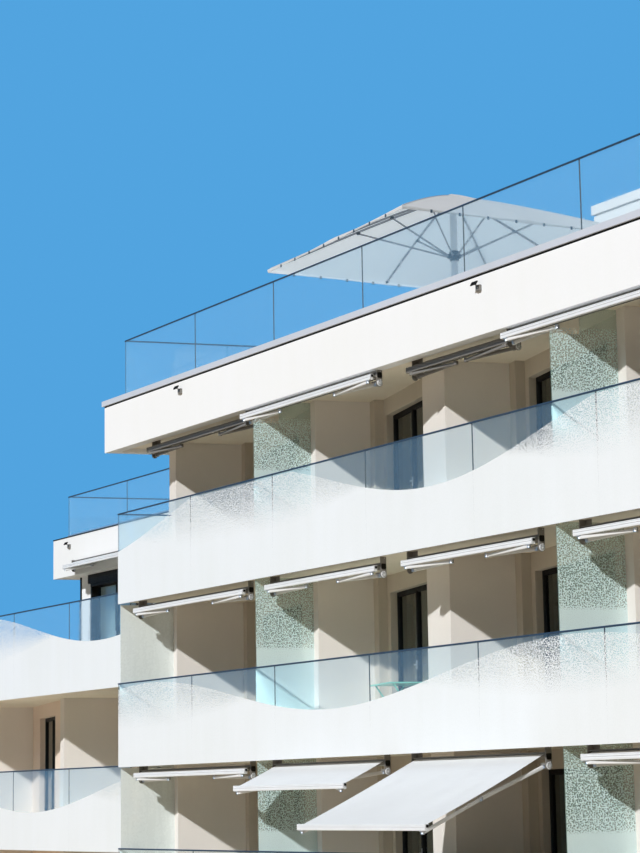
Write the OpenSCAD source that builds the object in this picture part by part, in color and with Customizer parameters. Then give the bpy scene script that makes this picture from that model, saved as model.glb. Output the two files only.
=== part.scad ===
// Apartment block with a stepped front, slanted glass balconies, folding-arm awnings,
// a roof terrace with a parasol, and a lower wing at its left end.
// Millimetres, +Z up. X runs along the rooms' grid, Y runs inwards from the front.
// The origin is at ground level under the left end wall of the main block.

/* [Storeys] */
// Floor to floor height of the main block
storey_h = 3000; // [2800:10:3300]
// Thickness of a floor slab with its finishes
slab_t = 400; // [300:10:500]
// Height of the ground floor above the ground
ground_floor_z = 150; // [100:10:300]

/* [Front line] */
// Angle between the balcony line and the rooms' grid, in degrees
front_slant = 14.76; // [12:0.02:16]
// Distance of the balcony glass behind the front line
glass_setback = 150; // [120:5:250]
// Distance of a pier's front end behind the front line
pier_setback = 1120; // [1050:10:1300]

/* [Bays] */
// Clear width of the first bay
first_bay_w = 4610; // [4300:10:5000]
// Clear width of a narrow bay
narrow_bay_w = 2700; // [2600:10:3000]
// Clear width of a wide bay
wide_bay_w = 3980; // [3700:10:4300]
// Thickness of a wall end between two apartments
party_t = 290; // [250:5:350]
// Width of the broad pier inside an apartment
pier_w = 1050; // [900:10:1200]
// Thickness of an end wall
end_wall_t = 550; // [450:10:600]
// Thickness of the front and rear walls
wall_t = 300; // [250:10:360]
// Depth of the recess behind the first wall end
first_recess = 1440; // [1400:10:1600]
// Depth of the recess in a narrow bay
narrow_recess = 1140; // [1100:10:1300]
// Depth of the recess in a wide bay
wide_recess = 1240; // [1200:10:1350]
// Depth of the rooms from a window wall to the rear wall
room_depth = 10000; // [9000:50:11000]

/* [Windows] */
// Height of a glazed door's opening
door_h = 2310; // [2150:10:2400]
// Width of the door opening in the first bay
first_door_w = 3000; // [2400:10:3400]
// Width of the door opening in a narrow bay
narrow_door_w = 2000; // [1600:10:2100]
// Width of the door opening in a wide bay
wide_door_w = 3000; // [2400:10:3200]
// Distance of a door opening from the pier beside it
door_margin = 400; // [350:10:450]
// Width of a rear window
rear_window_w = 1300; // [900:10:1400]
// Height of a rear window
rear_window_h = 1400; // [1100:10:1500]
// Height of a rear window's sill above the floor
sill_h = 900; // [800:10:1000]
// Visible width of a window frame bar
frame_w = 70; // [50:5:90]
// Depth of a window frame
frame_d = 80; // [60:5:100]
// Thickness of a pane of insulating glass
pane_t = 24; // [20:1:32]

/* [Balcony glass] */
// Height of the guard above a balcony floor
guard_h = 1110; // [1000:10:1200]
// Height of the guard above the top floor
top_guard_h = 1270; // [1100:10:1350]
// Distance that the glass hangs below the slab's underside
glass_drop = 30; // [20:5:60]
// Thickness of the balcony glass and the end screens
glass_t = 22; // [16:1:30]
// Length of one glass panel, measured along X
panel_pitch = 2785; // [2500:5:3000]
// Width of the open joint between two panels
joint_w = 14; // [8:1:20]
// Height of the rail on the glass
rail_h = 28; // [24:1:50]
// Width of the rail on the glass
rail_w = 34; // [32:1:60]

/* [Awnings] */
// Diameter of the roller tube with its cloth
roller_d = 80; // [70:2:90]
// Height of the front bar
bar_h = 90; // [70:1:95]
// Depth of the front bar
bar_d = 60; // [40:1:70]
// Thickness of a folding arm
arm_t = 48; // [40:1:50]
// Length of one half of a folding arm
arm_l = 1105; // [1080:5:1200]
// How far the long awning reaches out
long_reach = 2000; // [1700:10:2050]
// How far the short awning reaches out
short_reach = 740; // [500:10:800]
// Fall of the awning cloth, in degrees
awning_fall = 25; // [20:1:28]

/* [Roof] */
// Height of the fascia above the top soffit
fascia_h = 800; // [700:10:950]
// Depth of the fascia board below the soffit
fascia_drop = 70; // [40:5:100]
// Thickness of the fascia
fascia_t = 220; // [180:10:300]
// How far the roof reaches past the balcony's end
roof_end_reach = 760; // [600:10:900]
// Height of the metal capping's front
capping_h = 100; // [70:5:140]
// Height of the roof glass above the capping
roof_glass_h = 1170; // [1000:10:1300]
// Thickness of the roof slab
roof_slab_t = 300; // [250:10:320]
// Thickness of insulation and paving on the roof
deck_t = 200; // [150:10:250]
// Length of one panel of the roof glass, measured along X
roof_panel_pitch = 2745; // [2500:5:3000]

/* [Parasol] */
// Side of the square canopy
canopy_side = 4900; // [4500:10:5000]
// Height of the canopy's edge above the terrace
canopy_edge_h = 2230; // [2100:10:2400]
// Rise of the canopy from its edge to its top
canopy_rise = 1060; // [900:10:1150]
// Diameter of the mast
mast_d = 120; // [90:5:140]

/* [Penthouse] */
// Length of the rooms on the roof, measured along X
penthouse_l = 11400; // [10000:50:11900]
// Height of the penthouse soffit above the terrace
penthouse_clear_h = 2350; // [2300:10:2500]
// Distance of the penthouse fascia behind the front line
penthouse_setback = 6600; // [6500:10:7000]

/* [Wing] */
// Length of the wing
wing_l = 10200; // [9800:10:10900]
// Floor height of the wing's first floor
wing_first_z = 4650; // [4500:10:4700]
// Floor height of the wing's terrace
wing_terrace_z = 7700; // [7650:10:7800]
// Distance of the wing's glass behind the front line
wing_glass_setback = 400; // [360:10:500]
// Distance of the wing's set-back roof behind the front line
wing_roof_setback = 3200; // [3000:10:3400]

/* [Hidden] */

// Levels of the main block
storeys = 4;
clear_h = storey_h - slab_t;
function floor_z(k) = ground_floor_z + k * storey_h;
function soffit_z(k) = floor_z(k) + clear_h;
roof_z = soffit_z(storeys - 1);
deck_z = roof_z + roof_slab_t + deck_t;
fascia_z0 = roof_z - fascia_drop;
fascia_z1 = roof_z + fascia_h;
capping_gap = 30;
capping_z0 = fascia_z1 + capping_gap;
capping_z1 = capping_z0 + capping_h;

// Slanted front line: the Y of a point at x that lies f behind the front line
slope = tan(front_slant);
origin_back = 1500;
function line_y(x, f) = x * slope + f - origin_back;

// Piers from left to right: [left face, right face]
left_face = -150;
x_a1 = left_face + end_wall_t;
x_a2 = x_a1 + first_bay_w;
x_b1 = x_a2 + party_t + narrow_bay_w;
x_a3 = x_b1 + pier_w + wide_bay_w;
x_b2 = x_a3 + party_t + narrow_bay_w;
x_a4 = x_b2 + pier_w + wide_bay_w;
right_face = x_a4 + end_wall_t;
piers = [
    [left_face, x_a1], [x_a2, x_a2 + party_t], [x_b1, x_b1 + pier_w],
    [x_a3, x_a3 + party_t], [x_b2, x_b2 + pier_w], [x_a4, right_face]
];
bays = 5;
recesses = [first_recess, narrow_recess, wide_recess, narrow_recess, wide_recess];
door_ws = [first_door_w, narrow_door_w, wide_door_w, narrow_door_w, wide_door_w];
door_leaves = [3, 2, 3, 2, 3];
function pier_y(i) = line_y(piers[i][1], pier_setback);
function wall_y(i) = pier_y(i) + recesses[i];
function rear_y(i) = wall_y(i) + room_depth;
function bay_x0(i) = piers[i][1];
function bay_x1(i) = piers[i + 1][0];
function door_x(i) = bay_x0(i) + door_margin;

// Balcony ends and the layers of glass and slab behind the front line
balcony_x0 = 100;
balcony_x1 = x_a4 + end_wall_t / 2;
slab_setback = glass_setback + glass_t;
corner_step_w = 250;
corner_step_d = 160;
pane_gap = 15;
rail_over = (rail_w - glass_t) / 2;

// Roof outline
roof_setback = glass_setback + 100;
roof_x0 = balcony_x0 - roof_end_reach;
roof_x1 = balcony_x1 + roof_end_reach;
rear_reach = 270;
roof_rear = rear_y(0) + wall_t - line_y(left_face, 0) + rear_reach;
capping_over = 40;
roof_glass_in = 300;

// Wing outline
wing_x0 = left_face - wing_l;
wing_roof_in = 690;
wing_roof_x0 = wing_x0 + wing_roof_in;
wing_wall_t = 450;
wing_pier_x1 = -5400;
wing_pier_x0 = wing_pier_x1 - wing_wall_t;
wing_pier_setback = 1570;
wing_recess = 1460;
wing_slab_t = 450;
wing_rear_y = 8500;
wing_y1 = line_y(wing_pier_x1, wing_pier_setback) + wing_recess;
wing_end_x1 = wing_x0 + wing_wall_t;
wing_end_y = line_y(wing_end_x1, wing_pier_setback);
wing_left_recess = 1280;
wing_y2 = wing_end_y + wing_left_recess;
wing_balcony_x1 = balcony_x0 - 50;
wing_glass_x0 = wing_x0 + 50;
wing_guard_h = 1290;
wing_clear_h = 2440;
wing_roof_z = wing_terrace_z + wing_clear_h;
wing_levels = [
    [ground_floor_z, wing_first_z - wing_slab_t],
    [wing_first_z, wing_terrace_z - wing_slab_t]
];

// A box given by its two corners
module block(x0, x1, y0, y1, z0, z1)
    translate([x0, y0, z0]) cube([x1 - x0, y1 - y0, z1 - z0]);

// A slab whose long sides follow the slanted line, with ends along Y
module band(x0, x1, f0, f1, z0, z1)
    translate([0, 0, z0]) linear_extrude(z1 - z0) polygon([
        [x0, line_y(x0, f0)], [x1, line_y(x1, f0)],
        [x1, line_y(x1, f1)], [x0, line_y(x0, f1)]
    ]);

// Places its children at a point of the slanted line, turned along it
module at_front(x, f, z)
    translate([x, line_y(x, f), z]) rotate([0, 0, front_slant]) children();

// A closed ring that follows the slanted plan, measured inwards
module band_ring(x0, x1, f0, f1, t, z0, z1)
    difference() {
        band(x0, x1, f0, f1, z0, z1);
        band(x0 + t, x1 - t, f0 + t, f1 - t, z0 - 1, z1 + 1);
    }

// Outline of a main floor: slanted front edge, stepped rear edge
rear_outline = [for (i = [bays - 1:-1:0]) each [
    [i == bays - 1 ? right_face : piers[i + 1][0], rear_y(i) + wall_t],
    [i == 0 ? left_face : piers[i][0], rear_y(i) + wall_t]
]];
function floor_outline(edge) = concat(
    [[balcony_x0 + edge, line_y(balcony_x0 + edge, slab_setback)],
     [balcony_x1 - edge, line_y(balcony_x1 - edge, slab_setback)],
     [balcony_x1 - edge, pier_y(bays)],
     [right_face, pier_y(bays)]],
    rear_outline,
    [[left_face, pier_y(0)], [balcony_x0 + edge, pier_y(0)]]
);

// Floors and roof
module ground_slab() color("gainsboro") {
    linear_extrude(ground_floor_z) polygon(floor_outline(0));
    linear_extrude(ground_floor_z) polygon(wing_outline(balcony_x0));
}

module floor_slabs() color("antiquewhite")
    for (k = [1:storeys - 1])
        translate([0, 0, floor_z(k) - slab_t])
            linear_extrude(slab_t) polygon(floor_outline(glass_t));

module roof_slab() color("antiquewhite")
    band(roof_x0 + fascia_t, roof_x1 - fascia_t, roof_setback + fascia_t, roof_rear - fascia_t,
         roof_z, roof_z + roof_slab_t);

module roof_deck() color("lightgrey")
    band(roof_x0 + fascia_t, roof_x1 - fascia_t, roof_setback + fascia_t, roof_rear - fascia_t,
         roof_z + roof_slab_t, deck_z);

module roof_fascia() color("white")
    band_ring(roof_x0, roof_x1, roof_setback, roof_rear, fascia_t, fascia_z0, fascia_z1);

module roof_capping() color("lightsteelblue") {
    band_ring(roof_x0 + capping_over, roof_x1 - capping_over, roof_setback + capping_over,
              roof_rear - capping_over, fascia_t - 2 * capping_over, fascia_z1, capping_z0);
    band_ring(roof_x0 - capping_over, roof_x1 + capping_over, roof_setback - capping_over,
              roof_rear + capping_over, fascia_t + capping_over, capping_z0, capping_z1);
}

// Walls at the ends of the main block and of the wing
module end_walls() color("white") {
    for (k = [0:storeys - 1]) {
        block(left_face, x_a1, pier_y(0), rear_y(0) + wall_t, floor_z(k), soffit_z(k));
        block(x_a4, right_face, pier_y(bays), rear_y(bays - 1) + wall_t,
              floor_z(k), soffit_z(k));
    }
    for (l = wing_levels)
        block(wing_x0, wing_end_x1, wing_end_y, wing_rear_y, l[0], l[1]);
}

module balcony_piers() color("white") {
    for (k = [0:storeys - 1], i = [1:bays - 1])
        block(piers[i][0], piers[i][1], pier_y(i), wall_y(i) + wall_t, floor_z(k), soffit_z(k));
    for (l = wing_levels)
        block(wing_pier_x0, wing_pier_x1, line_y(wing_pier_x1, wing_pier_setback),
              wing_y1 + wall_t, l[0], l[1]);
}

// One window wall with its corner step and its door opening
module front_bay_wall(i, z0, z1)
    difference() {
        union() {
            block(bay_x0(i), bay_x1(i), wall_y(i), wall_y(i) + wall_t, z0, z1);
            block(bay_x0(i), bay_x0(i) + corner_step_w,
                  wall_y(i) - corner_step_d, wall_y(i) + 1, z0, z1);
        }
        block(door_x(i), door_x(i) + door_ws[i], wall_y(i) - 1, wall_y(i) + wall_t + 1,
              z0 - 1, z0 + door_h);
    }

module front_wall(k) color("antiquewhite")
    for (i = [0:bays - 1]) front_bay_wall(i, floor_z(k), soffit_z(k));

module front_wall_ground() front_wall(0);
module front_wall_first() front_wall(1);
module front_wall_second() front_wall(2);
module front_wall_third() front_wall(3);

// Rear windows: one or two in each bay, evenly spaced
entrance_bay = 2;
entrance_w = 2200;
entrance_h = 2300;
function rear_count(i) = bay_x1(i) - bay_x0(i) > 3500 ? 2 : 1;
function rear_window_x(i, n) =
    bay_x0(i) + (bay_x1(i) - bay_x0(i)) * (n + 0.5) / rear_count(i) - rear_window_w / 2;
entrance_x = (bay_x0(entrance_bay) + bay_x1(entrance_bay) - entrance_w) / 2;
function has_rear_window(k, i) = !(k == 0 && i == entrance_bay);

// Stepped rear wall of one storey in one piece
module rear_wall(k) color("white")
    difference() {
        translate([0, 0, floor_z(k)]) linear_extrude(clear_h) polygon(concat(
            [for (i = [0:bays - 1]) each [
                [i == 0 ? x_a1 : piers[i][0] + wall_t, rear_y(i)],
                [i == bays - 1 ? x_a4 : piers[i + 1][0] + wall_t, rear_y(i)]]],
            [for (i = [bays - 1:-1:0]) each [
                [i == bays - 1 ? x_a4 : piers[i + 1][0], rear_y(i) + wall_t],
                [i == 0 ? x_a1 : piers[i][0], rear_y(i) + wall_t]]]
        ));
        for (i = [0:bays - 1]) if (has_rear_window(k, i))
            for (n = [0:rear_count(i) - 1])
                block(rear_window_x(i, n), rear_window_x(i, n) + rear_window_w,
                      rear_y(i) - 1, rear_y(i) + wall_t + 1,
                      floor_z(k) + sill_h, floor_z(k) + sill_h + rear_window_h);
        if (k == 0)
            block(entrance_x, entrance_x + entrance_w, rear_y(entrance_bay) - 1,
                  rear_y(entrance_bay) + wall_t + 1, floor_z(0) - 1, floor_z(0) + entrance_h);
    }

module rear_wall_ground() rear_wall(0);
module rear_wall_first() rear_wall(1);
module rear_wall_second() rear_wall(2);
module rear_wall_third() rear_wall(3);

// A window frame with equal leaves, cut out of one solid, or the panes in it
function leaf_w(w, leaves) = (w - frame_w) / leaves;
module window_part(part, w, h, leaves) {
    if (part == "frame") difference() {
        cube([w, frame_d, h]);
        for (n = [0:leaves - 1])
            block(frame_w + n * leaf_w(w, leaves), (n + 1) * leaf_w(w, leaves),
                  -1, frame_d + 1, frame_w, h - frame_w);
    }
    if (part == "panes") for (n = [0:leaves - 1])
        block(frame_w + n * leaf_w(w, leaves), (n + 1) * leaf_w(w, leaves),
              (frame_d - pane_t) / 2, (frame_d + pane_t) / 2, frame_w, h - frame_w);
}

reveal_d = 120;
module doors(part)
    for (k = [0:storeys - 1], i = [0:bays - 1])
        translate([door_x(i), wall_y(i) + reveal_d, floor_z(k)])
            window_part(part, door_ws[i], door_h, door_leaves[i]);

module door_frames() color("dimgrey") doors("frame");
module door_glass() color("lightblue", 0.4) doors("panes");

// All the other windows: rear of the main block, the wing, and the two roof rooms
module windows(part) {
    for (k = [0:storeys - 1], i = [0:bays - 1]) if (has_rear_window(k, i))
        for (n = [0:rear_count(i) - 1])
            translate([rear_window_x(i, n), rear_y(i) + wall_t - reveal_d - frame_d,
                       floor_z(k) + sill_h])
                window_part(part, rear_window_w, rear_window_h, 2);
    for (l = wing_levels) {
        for (o = wing_openings)
            translate([o[0], wing_opening_y(o[0]) + reveal_d, l[0]])
                window_part(part, o[1], l[1] - l[0] - wing_head, o[2]);
        for (x = wing_rear_xs)
            translate([x, wing_rear_y - reveal_d - frame_d, l[0] + sill_h])
                window_part(part, rear_window_w, rear_window_h, 2);
    }
    for (r = [penthouse_room, wing_room_plan], o = r[7]) {
        at_front(o[0], r[2], r[4])
            translate([0, reveal_d, 0]) window_part(part, o[1], r[6], o[2]);
        at_front(o[0], r[3] - wall_t, r[4] + sill_h)
            translate([0, wall_t * cos(front_slant) - reveal_d - frame_d, 0])
                window_part(part, rear_window_w, rear_window_h, 2);
    }
}

module window_frames() color("dimgrey") windows("frame");
module window_glass() color("lightblue", 0.4) windows("panes");

module entrance_door() color("dimgrey")
    translate([entrance_x, rear_y(entrance_bay) + wall_t - reveal_d - frame_d, floor_z(0)]) {
        window_part("frame", entrance_w, entrance_h, 2);
        window_part("panes", entrance_w, entrance_h, 2);
    }

// Balcony glass: panels along the slanted line and a return at each end
function guard_z(k) = floor_z(k) + (k == storeys - 1 ? top_guard_h : guard_h);
function glass_z0(k) = floor_z(k) - slab_t - glass_drop;
panel_count = ceil((balcony_x1 - balcony_x0) / panel_pitch);
function panel_x(n) = min(balcony_x0 + n * panel_pitch, balcony_x1);

module glass_run(x0, x1, f, z0, z1)
    band(x0 + joint_w / 2, x1 - joint_w / 2, f, f + glass_t, z0, z1);

module balcony_glass() color("azure", 0.6)
    for (k = [1:storeys - 1]) {
        for (n = [0:panel_count - 1])
            glass_run(panel_x(n), panel_x(n + 1), glass_setback, glass_z0(k),
                      guard_z(k) - rail_h);
        if (k == storeys - 1) {
            block(balcony_x0, balcony_x0 + glass_t,
                  line_y(balcony_x0, glass_setback + glass_t) + joint_w, pier_y(0),
                  glass_z0(k), guard_z(k) - rail_h);
            block(balcony_x1 - glass_t, balcony_x1,
                  line_y(balcony_x1, glass_setback + glass_t) + joint_w, pier_y(bays),
                  glass_z0(k), guard_z(k) - rail_h);
        }
    }

// A rail along the slanted line, and a rail along Y that starts behind it
rail_joint = 2;
module rail_run(x0, x1, f, z)
    band(x0 - rail_over, x1 + rail_over, f - rail_over, f + glass_t + rail_over, z - rail_h, z);
module rail_return(x, f, y1, z)
    block(x - rail_over, x + glass_t + rail_over,
          line_y(x + glass_t + rail_over, f + glass_t + rail_over) + rail_joint, y1, z - rail_h, z);

module balcony_rails() {
    for (k = [1:storeys - 1]) rail_run(balcony_x0, balcony_x1, glass_setback, guard_z(k));
    rail_return(balcony_x0, glass_setback, pier_y(0), guard_z(storeys - 1));
    rail_return(balcony_x1 - glass_t, glass_setback, pier_y(bays), guard_z(storeys - 1));
}

notch_h = 300;
notch_d = 450;
module privacy_screen(x, y0, y1, z0, z1, notch) {
    block(x, x + glass_t, y0, y1, z0, z1 - notch);
    if (notch > 0) block(x, x + glass_t, y0 + notch_d, y1, z0, z1);
}

// The top ones are cut out in front for the awnings that pass them
module privacy_screens() color("mediumaquamarine", 0.6)
    for (k = [0:storeys - 1], i = [1, 3])
        privacy_screen(piers[i][0],
                       line_y(piers[i][0] + glass_t, glass_setback + glass_t) + pane_gap,
                       pier_y(i), floor_z(k), soffit_z(k), k == storeys - 1 ? notch_h + fascia_drop : 0);

module end_screens() color("lightgrey", 0.8)
    for (k = [0:storeys - 2], x = [balcony_x0, balcony_x1 - glass_t])
        block(x, x + glass_t, line_y(x + glass_t, glass_setback + glass_t) + pane_gap,
              x == balcony_x0 ? pier_y(0) : pier_y(bays),
              k == 0 ? floor_z(0) : glass_z0(k), glass_z0(k + 1) - joint_w);

// Awnings above the bays of each storey, and one on the front of the wing's roof, each as
// [left end, right end, roller's middle behind the front line, height of the ceiling it
// hangs from, reach, and how far its middle lies below that ceiling]
awning_spans = [[500, 4470], [5200, 8470], [9200, 12390], [13300, 16900], [17200, 20800]];
top_awning_spans = [[560, 4300], [4460, 8470], [9060, 11640], [11830, 15950], [16200, 20800]];
roller_f = 400;
awning_drop = 150;
// On the top storey the even ones hang behind the fascia and the odd ones below it
inner_roller_f = 640;
fascia_awning_drop = 80;
rest_reach = 110;
wing_reach = 220;
bracket_t = 12;
wing_awning_in = 1180;
wing_awning_x0 = wing_roof_x0 + wing_awning_in;
wing_awning_l = 3880;
wing_awning_rise = 325;
roller_r = roller_d / 2;
bracket_back = roller_r + bracket_t;
function reach(k, i) = k == 1 && i == 2 ? long_reach : k == 1 && i == 1 ? short_reach : rest_reach;
awnings = concat(
    [for (k = [0:storeys - 2], i = [0:bays - 1])
        [awning_spans[i][0], awning_spans[i][1], roller_f, soffit_z(k), reach(k, i), awning_drop]],
    [for (i = [0:bays - 1]) let (a = top_awning_spans[i])
        i % 2 == 0 ? [a[0], a[1], inner_roller_f, roof_z, rest_reach, awning_drop]
                   : [a[0], a[1], roller_f, fascia_z0, rest_reach, fascia_awning_drop]],
    [[wing_awning_x0, wing_awning_x0 + wing_awning_l,
      wing_roof_setback - bracket_back / cos(front_slant), wing_roof_z + wing_awning_rise,
      wing_reach, fascia_awning_drop]]
);
cloth_t = 5;
cloth_lift = 0.3;
bracket_w = 150;
shoulder_in = 100;
shoulder_drop = 70;
shoulder_z = -roller_r - shoulder_drop;
function awning_w(a) = (a[1] - a[0]) / cos(front_slant);
// The cloth leaves the roller at its tangent and falls towards the front bar
cloth_y0 = -(roller_r + cloth_lift) * sin(awning_fall);
cloth_z0 = (roller_r + cloth_lift) * cos(awning_fall);
function cloth_z(r) = cloth_z0 - (r + cloth_y0) * tan(awning_fall);

// Places its children in the awning's own frame: x along the front line, y inwards
module at_awning(a) at_front(a[0], a[2], a[3] - a[5]) children();

// Bracket round one end of the roller, with the seat of the arm's shoulder
module roller_bracket(w, side, top) {
    x_plate = side > 0 ? -bracket_t : w;
    x_seat = side > 0 ? -bracket_t : w + bracket_t - bracket_w;
    block(x_plate, x_plate + bracket_t, -bracket_back, bracket_back, shoulder_z, top);
    block(x_seat, x_seat + bracket_w, bracket_back - bracket_t / 2, bracket_back, shoulder_z, top);
    block(x_seat, x_seat + bracket_w, -bracket_back, bracket_back,
          shoulder_z, shoulder_z + bracket_t);
}

module awning_rollers() color("silver")
    for (a = awnings) at_awning(a) {
        translate([-1, 0, 0]) rotate([0, 90, 0])
            cylinder(h = awning_w(a) + 2, d = roller_d, $fn = 24);
        roller_bracket(awning_w(a), 1, a[5]);
        roller_bracket(awning_w(a), -1, a[5]);
    }

// The cloth enters the front bar near its top
function bar_z(r) = cloth_z(r) + 3 * cloth_t - bar_h;
module awning_front_bars() color("white")
    for (a = awnings) at_awning(a)
        translate([0, -a[4] - bar_d, bar_z(a[4])]) cube([awning_w(a), bar_d, bar_h]);

// A square bar between two points
module square_bar(a, b, t) {
    v = b - a;
    l = norm(v);
    translate(a) rotate([0, acos(v[2] / l), atan2(v[1], v[0])])
        translate([-t / 2, -t / 2, 0]) cube([t, t, l]);
}

// Two arm halves from the shoulder under the roller to the wrist under the front bar
module folding_arm(w, r, side) {
    sx = side > 0 ? shoulder_in : w - shoulder_in;
    shoulder = [sx, 0, shoulder_z - arm_t / 2];
    wrist = [sx, -r - bar_d / 2, bar_z(r) - arm_t / 2];
    half = norm(wrist - shoulder) / 2;
    out = sqrt(max(arm_l * arm_l - half * half, 0));
    elbow = (shoulder + wrist) / 2 + [side * out, 0, 0];
    square_bar(shoulder, elbow, arm_t * 0.8);
    square_bar(elbow, wrist, arm_t * 0.8);
    for (p = [shoulder, elbow, wrist])
        translate(p - [0, 0, arm_t / 2]) cylinder(h = arm_t, d = arm_t * 1.3, $fn = 24);
}

module awning_arms() color("gainsboro")
    for (a = awnings, side = [1, -1]) at_awning(a) folding_arm(awning_w(a), a[4], side);

cloth_in = 60;
module awning_fabrics() color("whitesmoke")
    for (a = awnings) at_awning(a)
        translate([cloth_in, 0, 0]) rotate([90, 0, 90])
            linear_extrude(awning_w(a) - 2 * cloth_in) polygon([
                [cloth_y0, cloth_z0], [cloth_y0, cloth_z0 + cloth_t],
                [-a[4], cloth_z(a[4]) + cloth_t], [-a[4], cloth_z(a[4])]
            ]);

// Roof terrace glass, set in from the capping
roof_glass_x0 = roof_x0 + fascia_t;
roof_glass_x1 = roof_x1 - fascia_t;
roof_panel_count = ceil((roof_glass_x1 - roof_glass_x0) / roof_panel_pitch);
roof_glass_f = roof_setback + roof_glass_in;
roof_return_l = 6000;
function roof_panel_x(n) = min(roof_glass_x0 + n * roof_panel_pitch, roof_glass_x1);
module roof_glass() color("azure", 0.5) {
    for (n = [0:roof_panel_count - 1])
        glass_run(roof_panel_x(n), roof_panel_x(n + 1), roof_glass_f, deck_z,
                  capping_z1 + roof_glass_h - rail_h);
    for (x = [roof_glass_x0, roof_glass_x1 - glass_t], n = [0:2])
        block(x, x + glass_t,
              line_y(x, roof_glass_f + glass_t) + joint_w + n * roof_return_l / 3,
              line_y(x, roof_glass_f + glass_t) + (n + 1) * roof_return_l / 3,
              deck_z, capping_z1 + roof_glass_h - rail_h);
}

module roof_rails() {
    z = capping_z1 + roof_glass_h;
    rail_run(roof_glass_x0, roof_glass_x1, roof_glass_f, z);
    for (x = [roof_glass_x0, roof_glass_x1 - glass_t])
        rail_return(x, roof_glass_f, line_y(x, roof_glass_f + glass_t) + roof_return_l, z);
}

// Spotlights on the fascia: a square box, an arm, and a flat tilted lamp in front of it
spot_size = 90;
spot_d = 50;
spot_below = 180;
spot_arm_w = 20;
lamp_out = 105;
lamp_up = 60;
lamp_tilt = 57;
wing_roof_h = 880;
spot_end_in = 1705;
spot_pitch = 9000;
wing_spot_in = 860;
wing_spot_below = 210;
spots = concat(
    [for (n = [2:-1:0]) [roof_x1 - spot_end_in - n * spot_pitch, roof_setback, fascia_z1 - spot_below]],
    [[wing_roof_x0 + wing_spot_in, wing_roof_setback, wing_roof_z + wing_roof_h - wing_spot_below]]
);
module fascia_spotlights() color("dimgrey")
    for (p = spots) at_front(p[0], p[1], p[2]) {
        block(-spot_size / 2, spot_size / 2, -spot_d, 0, -spot_size / 2, spot_size / 2);
        block(-spot_arm_w / 2, spot_arm_w / 2, -lamp_out, -spot_d / 2, lamp_up / 2, lamp_up - 10);
        translate([0, -lamp_out, lamp_up]) rotate([lamp_tilt, 0, 0])
            cube([spot_size * 1.5, spot_size * 0.75, 22], center = true);
    }

// Parasol on the terrace
parasol_x = 5200;
parasol_y = 3650;
parasol_turn = 11;
module at_parasol() translate([parasol_x, parasol_y, deck_z]) rotate([0, 0, parasol_turn]) children();
canopy_t = 8;
valance_h = 60;
hub_h = canopy_edge_h - 60;
top_h = canopy_edge_h + canopy_rise;
rib_t = 34;
half_side = canopy_side / 2;
// The cloth's underside, its slope, and the height of a rib's middle below it
under_top = top_h - canopy_t * 1.3;
under_slope = (canopy_rise - canopy_t * 0.3) / (half_side - canopy_t);
rib_below = (rib_t / 2 + 0.3) * sqrt(1 + under_slope * under_slope);
mast_top = under_top - under_slope * mast_d / 2 - 0.3;
parasol_foot_d = 900;
parasol_foot_h = 60;
module parasol_mast() color("silver") at_parasol() {
    cylinder(h = parasol_foot_h, d = parasol_foot_d, $fn = 48);
    cylinder(h = mast_top, d = mast_d, $fn = 32);
}

// A round bar between two points
module bar_between(a, b, d) {
    v = b - a;
    l = norm(v);
    translate(a) rotate([0, acos(v[2] / l), atan2(v[1], v[0])])
        cylinder(h = l, d = d, $fn = 16);
}

module hub_ring(z, h, d)
    translate([0, 0, z]) difference() {
        cylinder(h = h, d = d, $fn = 32);
        translate([0, 0, -1]) cylinder(h = h + 2, d = mast_d + 1, $fn = 32);
    }

// Eight ribs from the crown to the edge, and eight struts from the sliding hub
crown_d = mast_d + 100;
crown_h = 90;
crown_z = under_top - under_slope * crown_d / 2 - 4 - crown_h;
function rib_slope(a) = a % 90 == 0 ? under_slope : under_slope / sqrt(2);
function rib_point(a, r) = [r * cos(a), r * sin(a), under_top - rib_slope(a) * r - rib_below];
module parasol_frame() color("silver") at_parasol() {
    hub_ring(crown_z, crown_h, crown_d);
    hub_ring(hub_h - 90, 180, mast_d + 110);
    for (a = [0:45:315]) {
        reach_out = (a % 90 == 0 ? half_side : half_side * sqrt(2)) * 0.985;
        bar_between(rib_point(a, crown_d / 2 - 12), rib_point(a, reach_out), rib_t);
        bar_between([(mast_d / 2 + 30) * cos(a), (mast_d / 2 + 30) * sin(a), hub_h],
                    rib_point(a, reach_out / 2), rib_t * 0.8);
    }
}

module parasol_canopy() color("linen") at_parasol()
    difference() {
        canopy_solid(half_side, canopy_edge_h - valance_h, canopy_edge_h, top_h);
        canopy_solid(half_side - canopy_t, canopy_edge_h - valance_h - 10,
                     canopy_edge_h - canopy_t, under_top);
    }

module canopy_solid(h, z0, z1, z2)
    polyhedron(
        points = [[-h, -h, z0], [h, -h, z0], [h, h, z0], [-h, h, z0],
                  [-h, -h, z1], [h, -h, z1], [h, h, z1], [-h, h, z1], [0, 0, z2]],
        faces = [[0, 1, 2, 3], [0, 4, 5, 1], [1, 5, 6, 2], [2, 6, 7, 3], [3, 7, 4, 0],
                 [4, 8, 5], [5, 8, 6], [6, 8, 7], [7, 8, 4]]
    );

// Round planter bowl on the terrace
bowl_x = 11200;
bowl_f = 1500;
bowl_r = 430;
bowl_h = 750;
bowl_t = 40;
module planter_bowl() color("linen")
    translate([bowl_x, line_y(bowl_x, bowl_f), deck_z]) rotate_extrude($fn = 48) polygon([
        [0, 0], [bowl_r * 0.6, 0], [bowl_r * 0.95, bowl_h * 0.5], [bowl_r, bowl_h],
        [bowl_r - bowl_t, bowl_h], [bowl_r * 0.9 - bowl_t, bowl_h * 0.5],
        [bowl_r * 0.55 - bowl_t, bowl_t], [0, bowl_t]
    ]);

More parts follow.
